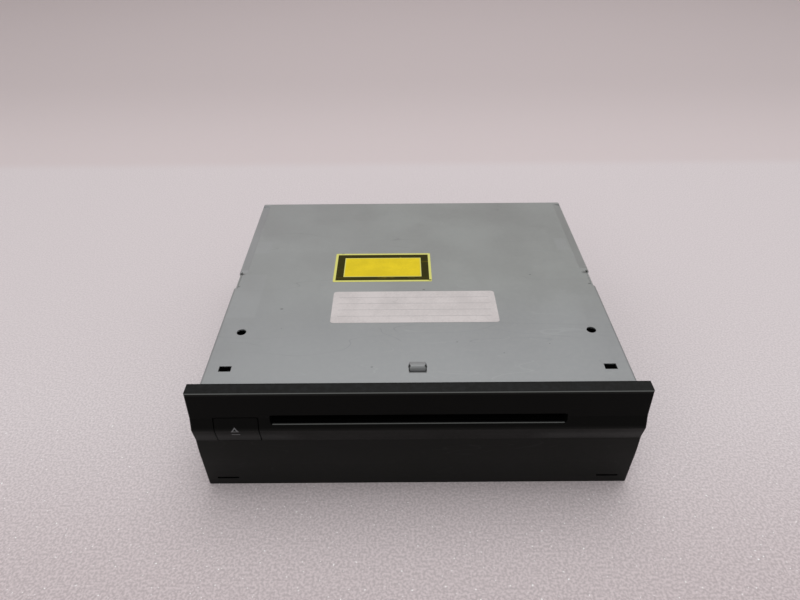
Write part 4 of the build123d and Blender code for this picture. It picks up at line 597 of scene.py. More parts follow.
class SheetSettings(bpy.types.PropertyGroup):
    """The folded zinc-coated sheet of the case and the loader."""

    zinc: FloatVectorProperty(
        name="Zinc colour",
        description="Colour of the dull zinc coat",
        subtype="COLOR",
        min=0.0,
        max=1.0,
        default=screen_colour(153, 156, 157),
    )
    roughness: FloatProperty(
        name="Roughness", description="How dull the coat is", default=0.48, min=0.1, max=1.0
    )
    far: FloatVectorProperty(
        name="Tone at the back",
        description="Colour that the coat turns to towards the back",
        subtype="COLOR",
        min=0.0,
        max=1.0,
        default=screen_colour(159, 163, 161),
    )
    # Sets how plain both the stuck-on patches and the painted highlight on the left strip are
    clean: FloatProperty(
        name="Clean patches",
        description="How much lighter the places are where something was stuck",
        subtype="FACTOR",
        default=0.34,
        min=0.0,
        max=1.0,
    )
    scratches: FloatProperty(
        name="Scratches",
        description="How plain the fine scratches are",
        subtype="FACTOR",
        default=0.25,
        min=0.0,
        max=1.0,
    )


class FaceSettings(bpy.types.PropertyGroup):
    """The moulded black face and its eject button."""

    black: FloatVectorProperty(
        name="Face colour",
        description="Colour of the moulded face",
        subtype="COLOR",
        min=0.0,
        max=1.0,
        default=(0.0050, 0.0053, 0.0046),
    )
    symbol: FloatVectorProperty(
        name="Symbol colour",
        description="Colour of the mark on the eject button",
        subtype="COLOR",
        min=0.0,
        max=1.0,
        default=screen_colour(98, 100, 102),
    )
    gleam: FloatVectorProperty(
        name="Edge gleam",
        description="Colour of the rounded front edges, which catch the light",
        subtype="COLOR",
        min=0.0,
        max=1.0,
        default=(0.105, 0.11, 0.105),
    )
    grain_size: FloatProperty(
        name="Grain size",
        description="Size of the moulded texture, in millimetres",
        default=0.28,
        min=0.05,
        max=2.0,
    )
    grain_depth: FloatProperty(
        name="Grain depth",
        description="Depth of the moulded texture, in millimetres",
        default=0.012,
        min=0.0,
        max=0.2,
    )
    fibres: IntProperty(
        name="Felt fibres", description="Fibres along each dust felt", default=900, min=10, max=5000
    )


class LabelSettings(bpy.types.PropertyGroup):
    """The two paper labels on the cover."""

    yellow: FloatVectorProperty(
        name="Yellow",
        description="Ground of the yellow label",
        subtype="COLOR",
        min=0.0,
        max=1.0,
        default=(0.80, 0.62, 0.018),
    )
    rim: FloatVectorProperty(
        name="Rim",
        description="The pale edge left round the dark border",
        subtype="COLOR",
        min=0.0,
        max=1.0,
        default=screen_colour(214, 212, 120),
    )
    ink: FloatVectorProperty(
        name="Ink",
        description="The dark border printed on the yellow label",
        subtype="COLOR",
        min=0.0,
        max=1.0,
        default=(0.030, 0.027, 0.0004),
    )
    paper: FloatVectorProperty(
        name="Paper",
        description="Ground of the white label",
        subtype="COLOR",
        min=0.0,
        max=1.0,
        default=screen_colour(206, 200, 199),
    )
    margin: FloatProperty(name="Rim width", description="Width of the pale edge, in millimetres", default=1.2)
    side_border: FloatProperty(
        name="Border at the sides", description="Width of the dark border there, in millimetres", default=3.9
    )
    long_border: FloatProperty(
        name="Border front and back",
        description="Width of the dark border there, in millimetres",
        default=3.1,
    )


class MechanismSettings(bpy.types.PropertyGroup):
    """What is inside: resin, rubber, steel and the threads."""

    resin: FloatVectorProperty(
        name="Gear resin",
        description="Natural gear resin",
        subtype="COLOR",
        min=0.0,
        max=1.0,
        default=screen_colour(222, 218, 204),
    )
    board: FloatVectorProperty(
        name="Board",
        description="Solder resist of the circuit board",
        subtype="COLOR",
        min=0.0,
        max=1.0,
        default=screen_colour(22, 84, 48),
    )
    small_parts: IntProperty(
        name="Small parts",
        description="Chip resistors and capacitors on the board",
        default=150,
        min=0,
        max=800,
    )
    screw_pitch: FloatProperty(
        name="Lead screw pitch",
        description="Travel of the sled in one turn, in millimetres",
        default=3.0,
        min=0.5,
        max=6.0,
    )


class StageSettings(bpy.types.PropertyGroup):
    """The floor, the lamps and the camera."""

    floor: FloatVectorProperty(
        name="Floor",
        description="Colour of the pale floor",
        subtype="COLOR",
        min=0.0,
        max=1.0,
        default=screen_colour(219, 211, 213),
    )
    lens: FloatProperty(
        name="Lens", description="Focal length of the camera", subtype="DISTANCE_CAMERA", default=27.95
    )
    lamp: FloatProperty(
        name="Lamp", description="Power of the large lamp overhead", subtype="POWER", default=9.0, min=0.0
    )
    sky: FloatProperty(name="Surroundings", description="Strength of the even light", default=0.62, min=0.0)


# The pieces


class DRIVE_OT_case_sheet(bpy.types.Operator):
    """Give the case and the loader's sheet parts their zinc finish"""

    bl_idname = "disc_drive.case_sheet"
    bl_label = "Case sheet"

    def execute(self, context):
        settings = context.scene.drive_sheet
        cover = self.zinc_sheet(settings, "Cover sheet", True)
        plain = self.zinc_sheet(settings, "Pan sheet", False)
        finish_nodes(cover, "top_cover")
        finish_nodes(plain, "chassis_pan", "rear_panel", "loader_deck", "upper_plate")
        finish_nodes(plain, "roller_arm", "clamp_arm")
        return {"FINISHED"}

    def zinc_sheet(self, settings, name, marked):
        """Dull zinc with faint clouds, fine scratches and rubbed edges; on the cover, lighter patches where
        something was stuck, small dark spots, painted shade in the side notches, painted shadows on the
        lanced tab and painted light on the left side and its sloping strip.
        """
        tree, shader = start_material(name, settings.roughness, 0.7, Specular_IOR_Level=0.5)
        base = tuple(settings.zinc)
        tone = effect(tree, "Cloud", Size=38.0, Mottle=0.35)
        axes = axes_of(tree, object_place(tree))
        ground = mix_colour(tree, spread(tree, axes["Y"], *TOWARDS_BACK), base, tuple(settings.far))
        shade = mix_colour(tree, spread(tree, tone, 0.3, 0.7), CLOUD_TONE, WHITE)
        surface = mix_colour(tree, 1.0, ground, shade, "MULTIPLY")
        lighter = tuple(min(part * 1.28, 1.0) for part in base)
        if marked:
            # Painted light: the left side of the cover is made paler, as if lit from the left
            left_light_mask = spread(tree, axes["X"], *LIT_LEFT_SPAN, PAINTED_LEFT_LIGHT, 0.0)
            surface = mix_colour(tree, left_light_mask, surface, lighter)
            # Patches where something was stuck, and a painted highlight on the left strip
            for x, depth, width, length, amount in STUCK_PATCHES_AND_LIT_STRIP:
                mask = rectangle(tree, x, deep(depth), width / 2, length / 2, PATCH_SOFTNESS)
                strength = calc(tree, "MULTIPLY", mask, settings.clean * amount, clamp=True)
                surface = mix_colour(tree, strength, surface, lighter)
            # Dark marks, and painted shade in the notches
            for x, depth, size in SPOTS_AND_NOTCH_SHADE:
                mask = rectangle(tree, x, deep(depth), size, size * 0.6, size * 0.7)
                surface = mix_colour(tree, product(tree, mask, SPOT_STRENGTH), surface, SPOT_TONE)
            for x, depth, width, length, amount in TAB_SHADOWS:
                mask = rectangle(tree, x, deep(depth), width / 2, length / 2, SHADOW_SOFTNESS)
                surface = mix_colour(tree, product(tree, mask, amount), surface, SHADOW_TONE)
        lines = effect(tree, "Fine scratches", Spacing=9.0, Width=0.006, Amount=settings.scratches)
        surface = mix_colour(tree, lines, surface, lighter)
        dark_lines = effect(tree, "Fine scratches", Spacing=14.0, Width=0.004, Amount=settings.scratches)
        surface = mix_colour(tree, dark_lines, surface, scaled(base, 0.5))
        worn = effect(tree, "Worn edges", "Mask", Radius=0.25, Wear=0.35)
        surface = mix_colour(tree, worn, surface, lighter)
        lying = effect(tree, "Dust", Amount=0.07)
        surface = mix_colour(tree, lying, surface, SHEET_DUST)
        tree.links.new(surface, shader["Base Color"])
        rough = spread(tree, tone, 0.25, 0.75, settings.roughness * 0.9, settings.roughness * 1.1)
        tree.links.new(calc(tree, "SUBTRACT", rough, product(tree, lines, 0.1)), shader["Roughness"])
        rounded = effect(tree, "Worn edges", "Normal", Radius=0.25, Wear=0.35)
        normal = effect(tree, "Surface grain", Size=0.6, Depth=0.004, Normal=rounded)
        tree.links.new(normal, shader["Normal"])
        return MATERIALS[name]


# Tones of the sheet
WHITE = (1.0, 1.0, 1.0)
CLOUD_TONE = (0.955, 0.955, 0.955)
SHEET_DUST = (0.5, 0.49, 0.48)

# Where the tone turns to the far one in Y, and where the cover's left side is made paler in X by painted
# light from the left, in metres
TOWARDS_BACK = (-0.05, 0.01)
LIT_LEFT_SPAN = (-0.085, 0.02)
PAINTED_LEFT_LIGHT = 0.35

# Lighter places on the cover: patches where something was stuck, and last a painted highlight on the sloping
# strip along the left edge; middle X, depth, width, length and how plain
PATCH_SOFTNESS = 1.0
STUCK_PATCHES_AND_LIT_STRIP = (
    (-82.6, 70.0, 14.6, 37.0, 0.9),
    (-82.2, 114.2, 9.0, 13.0, 1.0),
    (81.9, 115.8, 7.5, 13.0, 0.9),
    (74.0, 58.0, 12.0, 24.0, 0.2),
    # Painted highlight on the left sloping strip, standing in for light from the left
    (-88.6, 128.0, 5.6, 78.0, 2.2),
)

# Shadows on the cover's lanced tab: middle X, depth, width, length and strength
SHADOW_SOFTNESS = 0.4
SHADOW_TONE = (0.012, 0.012, 0.012)
TAB_SHADOWS = ((0.0, 15.6, 8.0, 4.2, 0.62), (-3.5, 17.6, 1.4, 1.7, 1.0), (3.5, 17.6, 1.4, 1.7, 1.0))

# Small dark spots on the cover: the first four are painted shade in the notches at both sides, the rest are
# marks; X, depth and size
SPOT_STRENGTH = 0.9
SPOT_TONE = (0.045, 0.045, 0.04)
SPOTS_AND_NOTCH_SHADE = (
    # The first four: painted shade in the notches at the left and right
    (-88.6, 88.2, 1.7),
    (-88.4, 77.2, 1.0),
    (88.2, 88.0, 2.2),
    (88.0, 77.8, 1.1),
    (-64.0, 58.6, 1.0),
    (59.5, 86.2, 0.7),
    (4.5, 73.6, 0.8),
    (-19.5, 17.5, 0.7),
    (59.0, 32.0, 0.45),
    (18.0, 33.5, 0.5),
    (38.0, 26.0, 0.4),
    (-62.0, 44.0, 0.4),
)


# Tones and shine of the face: the black of its painted shade, the painted light on the ridge's underside, the
# button's share, the share and shine of the painted shade, and how far under its top the dust begins, in
# millimetres
PAINTED_SHADE_BLACK = (0.001, 0.001, 0.001)
PAINTED_UNDERSIDE_LIGHT = (0.019, 0.0195, 0.019)
BUTTON_SHARE = 0.85
SHADED_SHARE = 0.45
SHINE = 0.13
SHADED_SHINE = 0.06
DUST_DROP = 1.6

# Where the painted light on the ridge's ends begins in X, and the height between the two lit lines, in metres
FACE_ENDS = (0.045, 0.06)
LINES_PART = (0.050, 0.051)

# How far up a surface faces where the top edge and the slot's lip catch the light: rise, then fall
TOP_EDGE = ((0.5, 0.62), (0.93, 0.98))
LIP_EDGE = ((0.66, 0.74), (0.84, 0.88))


class DRIVE_OT_face(bpy.types.Operator):
    """Give the face and its button their moulded finish, with painted shade and painted highlights"""

    bl_idname = "disc_drive.face"
    bl_label = "Face and button"

    def execute(self, context):
        settings = context.scene.drive_face
        black = tuple(settings.black)
        grain = (settings.grain_size, settings.grain_depth)
        look = {"roughness": 0.46, "vary": 0.1, "cloud": 25.0, "grain": grain, "Specular_IOR_Level": SHINE}
        look["dust_colour"] = (0.36, 0.4, 0.46)
        look["dust_above"] = FACE_TOP - DUST_DROP
        look["wear_colour"] = (0.1, 0.1, 0.1)
        face = made_material("Face plastic", black, edge=(0.2, 0.3), dust=0.018, scratches=0.05, **look)
        self.shade(face, black, tuple(settings.gleam))
        button_black = scaled(black, BUTTON_SHARE)
        button = made_material("Button plastic", button_black, edge=(0.2, 0.2), **look)
        self.shade(button, button_black, tuple(settings.gleam))
        mark = made_material("Symbol plastic", tuple(settings.symbol), 0.45, edge=(0.05, 0.0))
        finish_nodes(face, "faceplate")
        finish_nodes(button, "eject_button", "switch_plunger")
        finish_nodes(mark, "button_symbol")
        return {"FINISHED"}

    def shade(self, plastic, black, gleam):
        """Paints shade on the plastic above the ridge, deep inside and on its upward faces low down, paints
        light on the ridge's underside at its ends and lights the two upper edges.
        """
        tree = plastic.node_tree
        shader = tree.nodes["Principled BSDF"].inputs
        place = object_place(tree)
        axes = axes_of(tree, place)
        surface = shader["Base Color"].links[0].from_socket
        # Painted shade: the face above the ridge is darkened and has less shine
        above_ridge = spread(tree, axes["Z"], (RIDGE_Z - 0.5) * MM, (RIDGE_Z + 1.9) * MM)
        under_top = spread(tree, axes["Z"], (FACE_TOP - 1.4) * MM, (FACE_TOP - 0.7) * MM, 1.0, 0.0)
        deep_in = spread(tree, axes["Y"], deep(5.0) * MM, deep(7.0) * MM)
        dark = calc(tree, "MAXIMUM", product(tree, above_ridge, under_top), deep_in)
        surface = mix_colour(tree, dark, surface, scaled(black, SHADED_SHARE))
        # Painted shade: plastic deep inside the case is painted near black
        surface = mix_colour(tree, deep_in, surface, PAINTED_SHADE_BLACK)
        shine = spread(tree, dark, 0.0, 1.0, SHINE, SHADED_SHINE)
        shine = product(tree, shine, calc(tree, "SUBTRACT", 1.0, deep_in))
        tree.links.new(shine, shader["Specular IOR Level"])
        # Painted light: the underside of the ridge is made paler towards both ends
        underside = spread(tree, axes["Z"], (STEP_Z + 3.2) * MM, (RIDGE_Z - 0.9) * MM, 1.0, 0.0)
        not_low = spread(tree, axes["Z"], (STEP_Z - 0.2) * MM, (STEP_Z + 1.8) * MM)
        ends = spread(tree, calc(tree, "ABSOLUTE", axes["X"]), *FACE_ENDS)
        painted_light_mask = product(tree, underside, not_low, ends)
        surface = mix_colour(tree, painted_light_mask, surface, PAINTED_UNDERSIDE_LIGHT)
        # Painted highlights along the top edge and along the slot's lip
        facing = add_node(tree, "ShaderNodeNewGeometry").outputs["Normal"]
        normal = axes_of(tree, facing)
        forward = spread(tree, normal["Y"], -0.3, -0.2, 1.0, 0.0)
        top_line = self.between(tree, normal["Z"], *TOP_EDGE)
        lip_line = self.between(tree, normal["Z"], *LIP_EDGE)
        high = spread(tree, axes["Z"], *LINES_PART)
        line = product(tree, top_line, high, forward)
        low = calc(tree, "SUBTRACT", 1.0, high)
        low_line = product(tree, lip_line, low)
        # Painted shade: faces that look up, below the lit lines, are painted near black
        level = product(tree, spread(tree, normal["Z"], 0.88, 0.93), low)
        surface = mix_colour(tree, level, surface, PAINTED_SHADE_BLACK)
        line = calc(tree, "MAXIMUM", line, product(tree, low_line, forward))
        tree.links.new(mix_colour(tree, line, surface, gleam), shader["Base Color"])

    def between(self, tree, value, rise, fall):
        """One where the value lies between its rise and its fall, with soft ends."""
        return product(tree, spread(tree, value, *rise), spread(tree, value, *fall, 1.0, 0.0))


class DRIVE_OT_felts(bpy.types.Operator):
    """Make the two felt strips behind the slot"""

    bl_idname = "disc_drive.felts"
    bl_label = "Dust felts"

    def execute(self, context):
        fibres = context.scene.drive_face.fibres
        dark = {"vary": 0.4, "cloud": 1.5, "grain": (0.12, 0.05), "Specular_IOR_Level": 0.05}
        felt = made_material("Black felt", (0.0025, 0.0026, 0.0024), 0.95, **dark)
        low, high = corners("dust_felts")
        generator = random.Random(7)
        bm = bmesh.new()
        for bottom, top in ((low.z, SLOT_MIDDLE - 0.3), (SLOT_MIDDLE + 0.3, high.z)):
            first = len(bm.verts)
            add_block(bm, (low.x, low.y + 0.05, bottom), (high.x, high.y - 0.05, top))
            bm.verts.ensure_lookup_table()
            strip = bm.verts[first:]
            edges = list({edge for vertex in strip for edge in vertex.link_edges})
            long_edges = [edge for edge in edges if edge.calc_length() > 20]
            bmesh.ops.subdivide_edges(bm, edges=long_edges, cuts=240)
        for vertex in bm.verts:
            if low.x + 0.2 < vertex.co.x < high.x - 0.2:
                vertex.co.z += generator.uniform(-0.05, 0.05)
                vertex.co.y += generator.uniform(-0.04, 0.04)
        strips = to_object("felt_strips", bm, felt, smooth=False)
        place_on(strips, "case", "felt", "dust_felts")
        shape = bmesh.new()
        add_lathe(shape, [(0.03, 0), (0.018, 0.35), (0, 0.55)], segments=3)
        fibre = to_object("fibre_shape", shape, felt)
        places = []
        middle = (low.y + high.y) / 2
        for edge, way in ((SLOT_MIDDLE - 0.32, 1), (SLOT_MIDDLE + 0.32, -1)):
            for number in range(fibres):
                x = low.x + 0.4 + (high.x - low.x - 0.8) * (number + generator.random()) / fibres
                y = middle + generator.uniform(-0.42, 0.42)
                lean = (generator.uniform(-0.5, 0.5), generator.uniform(-0.6, 0.1), way * 0.6)
                places.append(((x, y, edge), lean))
        pile = repeat_shape("felt_pile", fibre, places, felt, variation=0.5, seed=11)
        place_on(pile, "case", "felt")
        return {"FINISHED"}


# Width of the pale line round the yellow middle, and softness of the chips in its border
PALE_LINE = 0.35
CHIP_SOFTNESS = 0.4

# Rules on the white label: how many, how far in from its sides, half their width, softness, strength and tone
RULES = 4
RULE_INSET = 3.0
RULE_HALF = 0.16
RULE_SOFTNESS = 0.08
RULE_STRENGTH = 0.55
RULE_TONE = (0.2, 0.2, 0.21)


class DRIVE_OT_labels(bpy.types.Operator):
    """Print the two labels"""

    bl_idname = "disc_drive.labels"
    bl_label = "Labels"

    def execute(self, context):
        settings = context.scene.drive_labels
        self.framed_label(settings)
        self.ruled_label(settings)
        return {"FINISHED"}

    def inside_label(self, tree, node, inset_x, inset_y, softness=0.15):
        """A mask of a label's face, drawn in from its edges."""
        low, high = corners(node)
        middle = (low + high) / 2
        half = (high - low) / 2
        return rectangle(tree, middle.x, middle.y, half.x - inset_x, half.y - inset_y, softness)

    def framed_label(self, settings):
        """A pale rim, a dark border, a thin pale line and a yellow middle."""
        tree, shader = start_material("Yellow label", 0.5, Specular_IOR_Level=0.1)
        tone = effect(tree, "Cloud", Size=10.0, Mottle=0.4)
        yellow = tuple(settings.yellow)
        faded = scaled(yellow, 0.86)
        rim = tuple(settings.rim)
        margin = settings.margin
        inset = (margin + settings.side_border, margin + settings.long_border)
        outer = self.inside_label(tree, "yellow_label", margin, margin)
        inner = self.inside_label(tree, "yellow_label", *inset)
        centre = self.inside_label(tree, "yellow_label", *(part + PALE_LINE for part in inset), softness=0.3)
        surface = mix_colour(tree, outer, rim, tuple(settings.ink))
        surface = mix_colour(tree, inner, surface, rim)
        ground = mix_colour(tree, spread(tree, tone, 0.3, 0.75), faded, yellow)
        surface = mix_colour(tree, centre, surface, ground)
        low, high = corners("yellow_label")
        chips = ((high.x - 0.9, low.y + 1.2, 0.9, 0.6), (low.x + 3.6, high.y - 0.2, 0.9, 0.3))
        for chip in chips:
            surface = mix_colour(tree, rectangle(tree, *chip, CHIP_SOFTNESS), surface, tuple(settings.ink))
        rubbed = effect(tree, "Fine scratches", Spacing=4.0, Width=0.008, Amount=0.3)
        surface = mix_colour(tree, rubbed, surface, faded)
        tree.links.new(surface, shader["Base Color"])
        normal = effect(tree, "Surface grain", Size=0.8, Depth=0.006)
        tree.links.new(normal, shader["Normal"])
        finish_nodes(MATERIALS["Yellow label"], "yellow_label")

    def ruled_label(self, settings):
        """Bare white paper with a few thin grey rules, as an unused form has."""
        tree, shader = start_material("White label", 0.62)
        tone = effect(tree, "Cloud", Size=14.0, Mottle=0.6)
        paper = tuple(settings.paper)
        aged = scaled(paper, 0.88)
        surface = mix_colour(tree, spread(tree, tone, 0.3, 0.7), aged, paper)
        low, high = corners("white_label")
        middle = (low.x + high.x) / 2
        half = (high.x - low.x) / 2
        for rule in range(1, RULES + 1):
            y = low.y + (high.y - low.y) * rule / (RULES + 1)
            line = rectangle(tree, middle, y, half - RULE_INSET, RULE_HALF, RULE_SOFTNESS)
            surface = mix_colour(tree, product(tree, line, RULE_STRENGTH), surface, RULE_TONE)
        rubbed = effect(tree, "Fine scratches", Spacing=5.0, Width=0.01, Amount=0.25)
        surface = mix_colour(tree, rubbed, surface, (0.3, 0.29, 0.28))
        tree.links.new(surface, shader["Base Color"])
        normal = effect(tree, "Surface grain", Size=0.25, Depth=0.01)
        tree.links.new(normal, shader["Normal"])
        finish_nodes(MATERIALS["White label"], "white_label")


# The two sides, and the corners of a square
SIDES = (-1, 1)
CORNERS = ((-1, -1), (1, -1), (1, 1), (-1, 1))


def on_both_sides(x, depths):
    """Places at each depth on the left, then on the right."""
    return [(side * x, depth) for side in SIDES for depth in depths]


# Screws: head radius, head height, shank radius, shank length, and how far the recess reaches
PAN_SCREW = (2.6, 1.2, 1.25, 4.5, 1.35)
BOARD_SCREW = (2.6, 1.2, 1.25, 5.0, 1.35)
SMALL_SCREW = (1.9, 1.2, 0.85, 3.2, 1.1)
LONG_SCREW = (1.9, 1.2, 0.85, 6.4, 1.1)
SHOULDER_SCREW = (3.6, 1.6, 1.25, 18.5, 1.6)

# The recess: half a slot's width, and its floor as shares of the head's height and of the mouth in X and Y
RECESS_HALF = 0.36
RECESS_FLOOR = 0.35
RECESS_TAPER = (0.45, 0.8)

# Heights of the case screws' middles, of the upper plate's top, and of the other two kinds' seats
CASE_SCREW_Z = 48.5
PLATE_TOP = 49.85
TRAVERSE_SEAT = 36.2
DAMPER_SEAT = 32.55

# Where the case's screws go: X and depths on its sides, then X and depth on its back and on its floor
SIDE_SCREW_X = 90.75
SIDE_SCREW_DEPTHS = (30.0, 140.0)
REAR_SCREW = (52.0, 165.05)
FLOOR_SCREW = (60.0, 159.5)
FLOOR_SCREW_Z = 2.95

# Where the inner screws stand, each as X and depth
SEAT_PLAY = 0.05
BOARD_SCREWS = on_both_sides(78.0, (20.0, 88.0, 154.0))
PLATE_SCREWS = on_both_sides(63.5, (36.0, 146.0))
TRAVERSE_SCREWS = on_both_sides(42.0, (78.0, 150.0))
POSTS = on_both_sides(58.0, (44.0, 140.0))


class DRIVE_OT_screws(bpy.types.Operator):
    """Make the cross-headed screws with their threads"""

    bl_idname = "disc_drive.screws"
    bl_label = "Screws"

    def execute(self, context):
        look = {"grain": (0.3, 0.004), "edge": (0.08, 0.3), "scratches": 0.2}
        zinc = made_material("Bright zinc", screen_colour(205, 206, 208), 0.3, 0.95, **look)
        case_places = []
        for side in SIDES:
            for depth in SIDE_SCREW_DEPTHS:
                case_places.append(((side * SIDE_SCREW_X, deep(depth), CASE_SCREW_Z), (side, 0, 0)))
            x, depth = REAR_SCREW
            case_places.append(((side * x, deep(depth), CASE_SCREW_Z + 1), (0, 1, 0)))
            x, depth = FLOOR_SCREW
            case_places.append(((side * x, deep(depth), FLOOR_SCREW_Z), (0, 0, -1)))
        board_places = self.upright(BOARD_SCREWS, BOARD_TOP + SEAT_PLAY)
        plate_places = self.upright(PLATE_SCREWS, PLATE_TOP + SEAT_PLAY)
        traverse_places = self.upright(TRAVERSE_SCREWS, TRAVERSE_SEAT)
        damper_places = self.upright(POSTS, DAMPER_SEAT)
        jobs = (
            ("case_screws", PAN_SCREW, case_places, ("machine_screws",)),
            ("board_screws", BOARD_SCREW, board_places, ()),
            ("plate_screws", SMALL_SCREW, plate_places, ("mechanism_screws",)),
            ("traverse_screws", LONG_SCREW, traverse_places, ()),
            ("shoulder_screws", SHOULDER_SCREW, damper_places, ("damper_screws",)),
        )
        for number, (name, sizes, places, nodes) in enumerate(jobs):
            shape = self.screw_shape(zinc, *sizes)
            piece = repeat_shape(name, shape, places, zinc, spin=3.0, seed=number + 3)
            place_on(piece, "case", "screw_zinc", *nodes)
        return {"FINISHED"}

    def upright(self, spots, seat):
        """Screws that stand on a level seat at these spots."""
        return [((x, deep(depth), seat), (0, 0, 1)) for x, depth in spots]

    def screw_shape(self, zinc, head, height, shank, length, reach):
        """One screw that stands on its head's seat: a domed head with a cross recess over a thread."""
        bm = bmesh.new()
        dome = [(0, height)]
        for step in range(1, 9):
            angle = math.radians(90 * step / 8)
            dome.append((head * math.sin(angle) ** 0.9, height * (0.45 + 0.55 * math.cos(angle))))
        dome += [(head, 0.12), (head - 0.12, 0), (shank, 0), (shank, -0.3), (0, -0.3)]
        add_lathe(bm, dome, segments=40)
        body = to_object("screw_shape", bm, zinc)
        deepest = height * RECESS_FLOOR
        share_x, share_y = RECESS_TAPER
        for half in ((reach, RECESS_HALF), (RECESS_HALF, reach)):
            cutter = bmesh.new()
            floor = (half[0] * share_x, half[1] * share_y)
            low = [cutter.verts.new((x * floor[0], y * floor[1], deepest)) for x, y in CORNERS]
            top = [cutter.verts.new((x * half[0], y * half[1], height + 0.2)) for x, y in CORNERS]
            cutter.faces.new(list(reversed(low)))
            cutter.faces.new(top)
            add_skin(cutter, low, top)
            without(body, to_object("recess_shape", cutter))
        thread = bmesh.new()
        add_thread(thread, shank * 0.8, shank, 0.5, length - 0.2, (0, 0, -1), (0, 0, -0.2), 20, 6)
        shaft = to_object("thread_shape", thread, zinc)
        return joined(body, shaft)


def joined(first, *others):
    """Adds the meshes of other objects to the first one's and removes them."""
    bm = bmesh.new()
    bm.from_mesh(first.data)
    for other in others:
        bm.from_mesh(other.data)
    bm.to_mesh(first.data)
    bm.free()
    for other in others:
        bpy.data.objects.remove(other)
    return first


# The rear sockets
HARNESS_X = -40.0
HARNESS_Z = 19.65
AERIAL_PLACE = (36.0, 17.65)
PIN_PITCH = 3.5
PIN_FRONT = 150.0
PIN_BACK = 163.0
PIN_COLUMNS = 10
PIN_ROWS = (-3.1, 3.1)
PIN_HALF = 0.32


class DRIVE_OT_sockets(bpy.types.Operator):
    """Give the rear sockets their finish and their pins"""

    bl_idname = "disc_drive.sockets"
    bl_label = "Rear sockets"

    def execute(self, context):
        dark = made_material(
            "Socket resin", screen_colour(34, 34, 36), 0.45, grain=(0.3, 0.01), edge=(0.15, 0.15), dust=0.04
        )
        look = {"vary": 0.06, "edge": (0.03, 0.1)}
        gold = made_material("Gold flash", screen_colour(214, 178, 104), 0.25, 1.0, **look)
        finish_nodes(dark, "rear_connector", "aerial_socket")
        shape = bmesh.new()
        long = PIN_BACK - PIN_FRONT
        rings = ((PIN_HALF, 0.0), (PIN_HALF, long - 0.7), (0.12, long))
        squares = []
        for half, height in rings:
            squares.append([shape.verts.new((x * half, y * half, height)) for x, y in CORNERS])
        for low, high in zip(squares, squares[1:]):
            add_skin(shape, low, high)
        shape.faces.new(list(reversed(squares[0])))
        shape.faces.new(squares[-1])
        pin = to_object("pin_shape", shape, gold)
        places = []
        for column in range(PIN_COLUMNS):
            for row in PIN_ROWS:
                x = HARNESS_X + (column - (PIN_COLUMNS - 1) / 2) * PIN_PITCH
                places.append(((x, deep(PIN_FRONT), HARNESS_Z + row), (0, 1, 0)))
        pins = repeat_shape("harness_pins", pin, places, gold)
        place_on(pins, "case", "gold_pins", "socket_pins")
        bm = bmesh.new()
        profile = [(0, 0), (0.5, 0), (0.5, long - 0.5), (0.3, long - 0.1), (0, long)]
        add_lathe(bm, profile, (0, 1, 0), (AERIAL_PLACE[0], deep(PIN_FRONT), AERIAL_PLACE[1]), 20)
        place_on(to_object("aerial_pin", bm, gold), "case", "gold_pins")
        return {"FINISHED"}


# Chips on the board: X, depth, width, length, height, leads along X and along Y
CHIPS = (
    (-28.0, 62.0, 28.0, 28.0, 2.4, 26, 26),
    (18.0, 58.0, 20.0, 20.0, 2.0, 22, 22),
    (-30.0, 100.0, 18.0, 12.0, 1.4, 0, 12),
    (-6.0, 100.0, 18.0, 12.0, 1.4, 0, 12),
    (30.0, 92.0, 12.0, 12.0, 2.4, 10, 10),
    (0.0, 126.0, 12.0, 9.0, 1.8, 0, 7),
    (60.0, 22.0, 14.0, 9.0, 2.2, 0, 6),
)

# Capacitors: X and depth
CAPACITORS = ((74.0, 66.0), (74.0, 78.0), (62.0, 72.0), (74.0, 112.0), (62.0, 118.0), (-74.0, 122.0))

# Outlines of a can, as radius and height, of a lead, as distance out and height, and of a chip's dimple
CAN_OUTLINE = (
    (0, 1.4),
    (3.9, 1.4),
    (3.9, 2.3),
    (3.6, 2.6),
    (3.9, 2.9),
    (3.95, 9.9),
    (3.7, 10.3),
    (3.3, 10.45),
    (3.1, 10.3),
    (0, 10.3),
)
LEAD_OUTLINE = (
    (-0.3, 0.85),
    (0.35, 0.85),
    (0.65, 0.14),
    (1.2, 0.14),
    (1.2, 0.02),
    (0.56, 0.02),
    (0.26, 0.73),
    (-0.3, 0.73),
)
LEAD_HALF = 0.16
DIMPLE_OUTLINE = ((0.55, -0.02), (0.7, 0.03), (0.85, 0.0), (0.85, -0.02))

# Places on the board kept clear for connectors and sockets: X, depth and how far each way
KEEP_CLEAR = (
    (44.0, 124.0, 13.0, 6.0),
    (-60.0, 72.0, 9.0, 6.0),
    (-70.0, 44.0, 7.0, 6.0),
    (-40.0, 155.0, 23.0, 9.0),
    (36.0, 155.0, 9.0, 9.0),
    (-82.0, 100.0, 6.0, 5.0),
    (82.0, 44.0, 6.0, 5.0),
)

# The grid of the small parts, how far they reach to each side and in depth, and how often a place is tried
PART_GRID = 2.5
PART_REACH = 76
PART_DEPTHS = (18, 150)
MOST_TRIES = 20000


